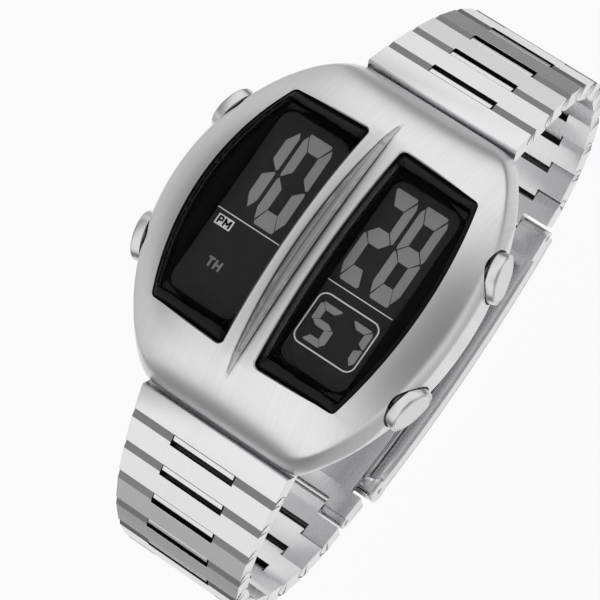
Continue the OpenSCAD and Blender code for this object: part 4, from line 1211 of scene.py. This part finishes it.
def makeLinks():
    shape = linkShape
    pinProfile = [(-1, 0), (-1, shape["pinRadius"]), (1, shape["pinRadius"]), (1, 0)]
    shapes = {"first": firstLinkMesh(), "plain": plainLinkMesh(False), "last": plainLinkMesh(True),
              "pin": turned("linkPin", pinProfile, 32), "noPin": bpy.data.meshes.new("noPin")}
    shapes = {name: addObject(name, mesh) for name, mesh in shapes.items()}
    tree = makeLinkTree()
    heading, (y, z) = 0.0, shape["firstPin"]
    for n in range(1, 13):
        heading += shape["bends"][n - 1]
        near, far = (max(shape["halfWidth"] - shape["taper"] * end, shape["leastHalf"]) for end in (n - 1, n))
        length, rise = shape["pitch"], 0.0
        if n == 1:
            length = shape["firstFaceStart"] + shape["firstFaceLength"] + shape["faceGap"] / 2
            rise = shape["firstFaceDrop"] - shape["halfThick"]
        values = {"Shape": shapes["first" if n == 1 else "last" if n == 12 else "plain"],
                  "Pin": shapes["noPin" if n == 1 else "pin"], "Near Half Width": near, "Far Half Width": far,
                  "Length": length, "Heading": heading, "Steel": linkSteels[0]}
        for strand, side in (("upper", 1), ("lower", -1)):
            node = f"{strand}_link_{n:02d}"
            placeLink(node, grownMesh(tree, "steelLink_" + node, {**values, "Lower": 0.0 if side > 0 else 1.0,
                                                                  "Place": (0, side * y * mm, z * mm)}))
        slope = math.radians(heading)
        y += length * math.cos(slope) + rise * math.sin(slope)
        z += -length * math.sin(slope) + rise * math.cos(slope)
    for piece in shapes.values():
        bpy.data.objects.remove(piece)
    print("links")


makeLinks()


# Inner parts: a mottled surface for plastic, rubber and metal, and a board with traces

def makeMottledTone():
    group, given = newGrain("mottledTone", {"Colour": grey(0.5), "Uneven": 0.05, "Roughness": 0.5,
                                            "Size": 600.0})
    place = objectPlace(group)
    fine = noise(group, place, Scale=given["Size"], Detail=3.0)
    broad = noise(group, place, Scale=180.0, Detail=2.0)
    shade = times(group, minus(group, plus(group, fine, broad), 1.0), given["Uneven"])
    colour = scaledColour(group, given["Colour"], plus(group, shade, 1.0))
    return finishGrain(group, colour, plus(group, given["Roughness"], shade), fine)


def makeBoardTraces():
    # Green mask with slightly raised copper runs under it
    group, given = newGrain("boardTraces", {"Mask": grey(0.1), "Trace": grey(0.2), "Roughness": 0.35})
    run = addNode(group, "ShaderNodeTexBrick", {
        "Vector": objectPlace(group), "Scale": 300.0, "Mortar Size": 0.035, "Mortar Smooth": 0.2,
        "Brick Width": 0.9, "Row Height": 0.33}).outputs["Fac"]
    wear = stretchedNoise(group, (700, 700, 700), 2)
    rough = plus(group, given["Roughness"], times(group, wear, 0.1))
    return finishGrain(group, mixColours(group, run, given["Mask"], given["Trace"]), rough, run)


mottledLook = {"uneven": 0.08, "size": 900.0, "bump": 0.15}
boardLook = {"Mask": (0.02, 0.16, 0.07, 1.0), "Trace": (0.06, 0.3, 0.13, 1.0), "Roughness": 0.35}
boardBump = 0.4
# Material name, colour, roughness and metallic of each
innerLooks = {
    "module_frame": ("framePlastic", (0.05, 0.05, 0.055), 0.5, 0.0),
    "board_parts": ("chipResin", (0.03, 0.03, 0.032), 0.45, 0.0),
    "switch_contacts": ("springBrass", (0.72, 0.5, 0.2), 0.3, 1.0),
    "cell_clip": ("clipSteel", (0.62, 0.6, 0.56), 0.3, 1.0),
    "cell_holder": ("holderPlastic", (0.11, 0.11, 0.12), 0.55, 0.0),
    "coin_cell": ("cellSteel", (0.68, 0.68, 0.69), 0.22, 1.0),
    "buzzer_disc": ("buzzerBrass", (0.75, 0.58, 0.28), 0.3, 1.0),
    "light_panels": ("lightPanel", (0.72, 0.76, 0.7), 0.5, 0.0),
    "zebra_connectors": ("zebraRubber", (0.16, 0.15, 0.15), 0.7, 0.0),
    "crystal_gaskets": ("gasketRubber", (0.03, 0.03, 0.032), 0.65, 0.0),
    "case_back_gasket": ("backGasketRubber", (0.035, 0.035, 0.04), 0.65, 0.0),
    "pusher_seals": ("sealRubber", (0.035, 0.035, 0.037), 0.6, 0.0),
    "spring_bars": ("barSteel", (0.62, 0.62, 0.63), 0.28, 1.0),
    "clasp_spring_bar": ("claspBarSteel", (0.62, 0.62, 0.63), 0.28, 1.0),
}


def colourInnerParts():
    tone = makeMottledTone()
    for name, (label, colour, rough, metallic) in innerLooks.items():
        values = {"Colour": (*colour, 1.0), "Uneven": mottledLook["uneven"], "Roughness": rough,
                  "Size": mottledLook["size"]}
        coatNode(name, grainMaterial(label, tone, values, mottledLook["bump"], metallic))
    board = grainMaterial("boardGreen", makeBoardTraces(), boardLook, boardBump, 0.0, 0.03)
    coatNode("circuit_board", board)
    print("inner parts")


colourInnerParts()


# Case back, its screws and the clasp

backLook = {"Colour": (0.68, 0.68, 0.69, 1.0), "Roughness": 0.3, "Line Shade": 0.16, "Rings": 5200.0}
backBump = 0.12
screwShape = {"head": 1.0, "edge": 0.12, "edgeRound": (0.35, 0.3),
              "low": 0.15, "top": 0.75, "shank": 0.5, "end": 3.95,
              "slotHalf": 0.14, "slotDepth": 0.25, "clear": 0.2,
              "thread": 0.06, "threadWidth": 0.12, "threadPitch": 0.28, "plain": 0.3}


def makeTurnedGrain():
    # Fine rings about Z, as a lathe or a rotary brush leaves them
    group, given = newGrain("turnedGrain", {"Colour": grey(0.7), "Line Shade": 0.1, "Roughness": 0.3,
                                            "Rings": 5000.0})
    place = partsOf(group, objectPlace(group))
    squares = plus(group, *(mathNode(group, "POWER", mathNode(group, "ABSOLUTE", place[axis]), 2.0)
                            for axis in ("X", "Y")))
    reach = times(group, mathNode(group, "SQRT", squares), given["Rings"])
    spot = vectorOf(group, X=reach, Y=times(group, place["Z"], 400.0))
    lines = noise(group, spot, Scale=1.0, Detail=3.0)
    shade = times(group, minus(group, lines, 0.5), given["Line Shade"])
    colour = scaledColour(group, given["Colour"], plus(group, shade, 1.0))
    return finishGrain(group, colour, plus(group, given["Roughness"], shade), lines)


def screwMesh():
    # A slotted screw with its head down, along Z
    shape = screwShape
    low, top, head, edge, shank, end = (shape[key] for key in ("low", "top", "head", "edge", "shank", "end"))
    width, clear = shape["threadWidth"], shape["clear"]
    inward, outward = shape["edgeRound"]
    profile = [(low, 0), (low, head - edge), (low + edge * inward, head - edge * outward),
               (low + edge, head), (top, head), (top, shank)]
    turn = top + shape["plain"]
    while turn < end - shape["plain"]:
        profile += [(turn, shank), (turn + width, shank - shape["thread"]), (turn + width * 2, shank)]
        turn += shape["threadPitch"]
    profile += [(end - edge, shank), (end, shank - edge), (end, 0)]
    piece = addObject("screw", aboutZ(turned("screw", profile, 48)))
    slot = np.array([(-1, -1), (1, -1), (1, 1), (-1, 1)]) * [head + clear, shape["slotHalf"]]
    cutAway(piece, raised("slot", slot, low - clear, low + shape["slotDepth"]))
    return takeMesh(piece)


def makeScrewTree():
    # The same screw at four corners
    tree, given = newShapeTree("cornerScrews", {"Screw": "Object", "Across": "Float", "Along": "Float"})
    corners = addNode(tree, "GeometryNodeMeshGrid", {
        "Size X": times(tree, given["Across"], 2 * mm), "Size Y": times(tree, given["Along"], 2 * mm),
        "Vertices X": 2, "Vertices Y": 2})
    screw = addNode(tree, "GeometryNodeObjectInfo", {"Object": given["Screw"]})
    turn = addNode(tree, "FunctionNodeRandomValue", {2: 0.0, 3: 3.1, "Seed": 4})
    placed = addNode(tree, "GeometryNodeInstanceOnPoints", {
        "Points": corners.outputs[0], "Instance": screw.outputs["Geometry"],
        "Rotation": vectorOf(tree, Z=turn.outputs[1])})
    return finishShapeTree(tree, placed.outputs[0], given["Steel"])


def makeBack():
    coatNode("case_back", grainMaterial("backSteel", makeTurnedGrain(), backLook, backBump))
    steel = brushedSteel("screwSteel")
    screw = addObject("oneScrew", screwMesh())
    across, along = openings["screwPlace"]
    mesh = grownMesh(makeScrewTree(), "backScrews", {"Screw": screw, "Across": across, "Along": along,
                                                     "Steel": steel})
    bpy.data.objects.remove(screw)
    placePiece("backScrews", mesh, steel, "watch_head", ["case_back_screws"], 35)
    print("case back")


claspShape = {"edge": 0.09, "edgeAngle": 30}


def makeClasp():
    claspSteel = brushedSteel("claspSteel")
    for node in ("clasp_inner_blade", "clasp_middle_blade", "clasp_cover"):
        mesh = roundEdges(copyOfNode(node), claspShape["edge"], claspShape["edgeAngle"], False)
        placePiece("steel_" + node, mesh, claspSteel, node, [node], 30)
    print("clasp")


makeBack()
makeClasp()


# Studio: floor, light and camera

studio = {
    "floorHeight": -80.0, "floorRadius": 122.0, "floorCentre": (-34.0, 15.0), "floorSides": 96,
    "floorTone": 0.82, "floorGlow": 0.9, "strength": 1.06, "background": 0.94,
    # Level of the surround by the sine of its height above the horizon: along the bracelet, and to the sides
    "along": [(-1.0, 0.18), (-0.3, 0.18), (-0.12, 0.88), (0.1, 1.0), (1.0, 1.04)],
    "sides": [(-1.0, 0.4), (-0.1, 0.6), (0.25, 0.8), (0.42, 0.45), (0.85, 0.36), (0.96, 1.0), (1.0, 1.04)],
    "sidesFrom": (0.36, 0.6),
    # Dark cards, one to the left and one overhead on the right: what they take off, and their soft edges
    "cards": [(0.6, [("X", -0.55, -0.85), ("Z", 0.2, 0.4), ("Z", 0.8, 0.6)]),
              (0.6, [("X", -0.08, 0.18), ("Z", 0.5, 0.7), ("size of Y", 0.75, 0.4)])],
}
# The picture's axes in the CAD frame, and where the camera stands, from a fit to the photo
cameraFit = {"right": (0.7905, 0.5692, -0.226), "toward": (0.3288, -0.083, 0.9408), "shift": (1.4614, 5.9992),
             "distance": 425.50, "aimHeight": 10.63, "sensor": 36, "focus": 3677.26, "pixels": 600}


def makeFloor():
    (across, along), reach, sides = (studio["floor" + key] for key in ("Centre", "Radius", "Sides"))
    ring = [(across + reach * math.cos(a), along + reach * math.sin(a), 0)
            for a in np.linspace(0, 2 * math.pi, sides + 1)[:-1]]
    mesh = moved(meshFrom("floor", ring, [tuple(range(sides))]), 0, 0, studio["floorHeight"])
    floor = addObject("floor", mesh)
    material, shader = newMaterial("floorPaper", Roughness=0.9, Base_Color=grey(studio["floorTone"]))
    tree = material.node_tree
    rays = addNode(tree, "ShaderNodeLightPath").outputs
    seen = mathNode(tree, "MAXIMUM", rays["Is Camera Ray"],
                    mathNode(tree, "MAXIMUM", rays["Is Glossy Ray"], rays["Is Transmission Ray"]))
    glow = addNode(tree, "ShaderNodeEmission", {"Color": grey(1.0), "Strength": 1.0})
    lit = mixShaders(tree, times(tree, seen, studio["floorGlow"]), shader.outputs[0], glow.outputs[0])
    # Clear from below, so that the watch can be looked at from there
    below = addNode(tree, "ShaderNodeNewGeometry").outputs["Backfacing"]
    clear = addNode(tree, "ShaderNodeBsdfTransparent").outputs[0]
    feed(tree, tree.nodes["Material Output"].inputs["Surface"], mixShaders(tree, below, lit, clear))
    mesh.materials.append(material)


def surroundRamp(tree, height, levels):
    ramp = addNode(tree, "ShaderNodeValToRGB", {0: height})
    stops = ramp.color_ramp.elements
    while len(stops) > 1:
        stops.remove(stops[-1])
    for index, (rise, level) in enumerate(levels):
        stop = stops[0] if index == 0 else stops.new((rise + 1) / 2)
        stop.position = (rise + 1) / 2
        stop.color = grey(level)
    return ramp.outputs[0]


def makeWorld():
    world = bpy.data.worlds.new("studioWorld")
    bpy.context.scene.world = world
    world.use_nodes = True
    tree = world.node_tree
    parts = partsOf(tree, addNode(tree, "ShaderNodeTexCoord").outputs["Generated"])
    places = {"X": parts["X"], "Z": parts["Z"], "size of Y": mathNode(tree, "ABSOLUTE", parts["Y"])}
    height = ranged(tree, parts["Z"], -1.0, 1.0)
    aside = ranged(tree, mathNode(tree, "ABSOLUTE", parts["X"]), *studio["sidesFrom"])
    ramps = [surroundRamp(tree, height, studio[way]) for way in ("along", "sides")]
    surround = mixColours(tree, aside, *ramps)
    dark = 0.0
    for strength, edges in studio["cards"]:
        card = strength
        for place, outside, inside in edges:
            card = times(tree, card, ranged(tree, places[place], outside, inside))
        dark = plus(tree, dark, card)
    lit = scaledColour(tree, surround, minus(tree, 1.0, dark))
    # Plain white where the camera sees past the floor
    seen = addNode(tree, "ShaderNodeLightPath").outputs["Is Camera Ray"]
    back = tree.nodes["Background"].inputs
    back["Strength"].default_value = studio["strength"]
    tree.links.new(mixColours(tree, seen, lit, grey(studio["background"])), back["Color"])


def makeCamera():
    fit = cameraFit
    toward = Vector(fit["toward"])
    toward.normalize()
    right = Vector(fit["right"])
    right = (right - toward * right.dot(toward)).normalized()
    up = toward.cross(right)
    across, above = fit["shift"]
    centre = right * -across + up * -above + toward * fit["distance"] + Vector((0, 0, fit["aimHeight"]))
    data = bpy.data.cameras.new("photoCamera")
    data.sensor_width = fit["sensor"]
    data.lens = fit["sensor"] * fit["focus"] / fit["pixels"]
    data.clip_start = 0.01
    data.clip_end = 20
    camera = addObject("photoCamera", data)
    camera.matrix_world = Matrix.Translation(centre * mm) @ Matrix((right, up, toward)).transposed().to_4x4()
    bpy.context.scene.camera = camera


makeFloor()
makeWorld()
makeCamera()
bpy.context.scene.view_settings.view_transform = "Standard"
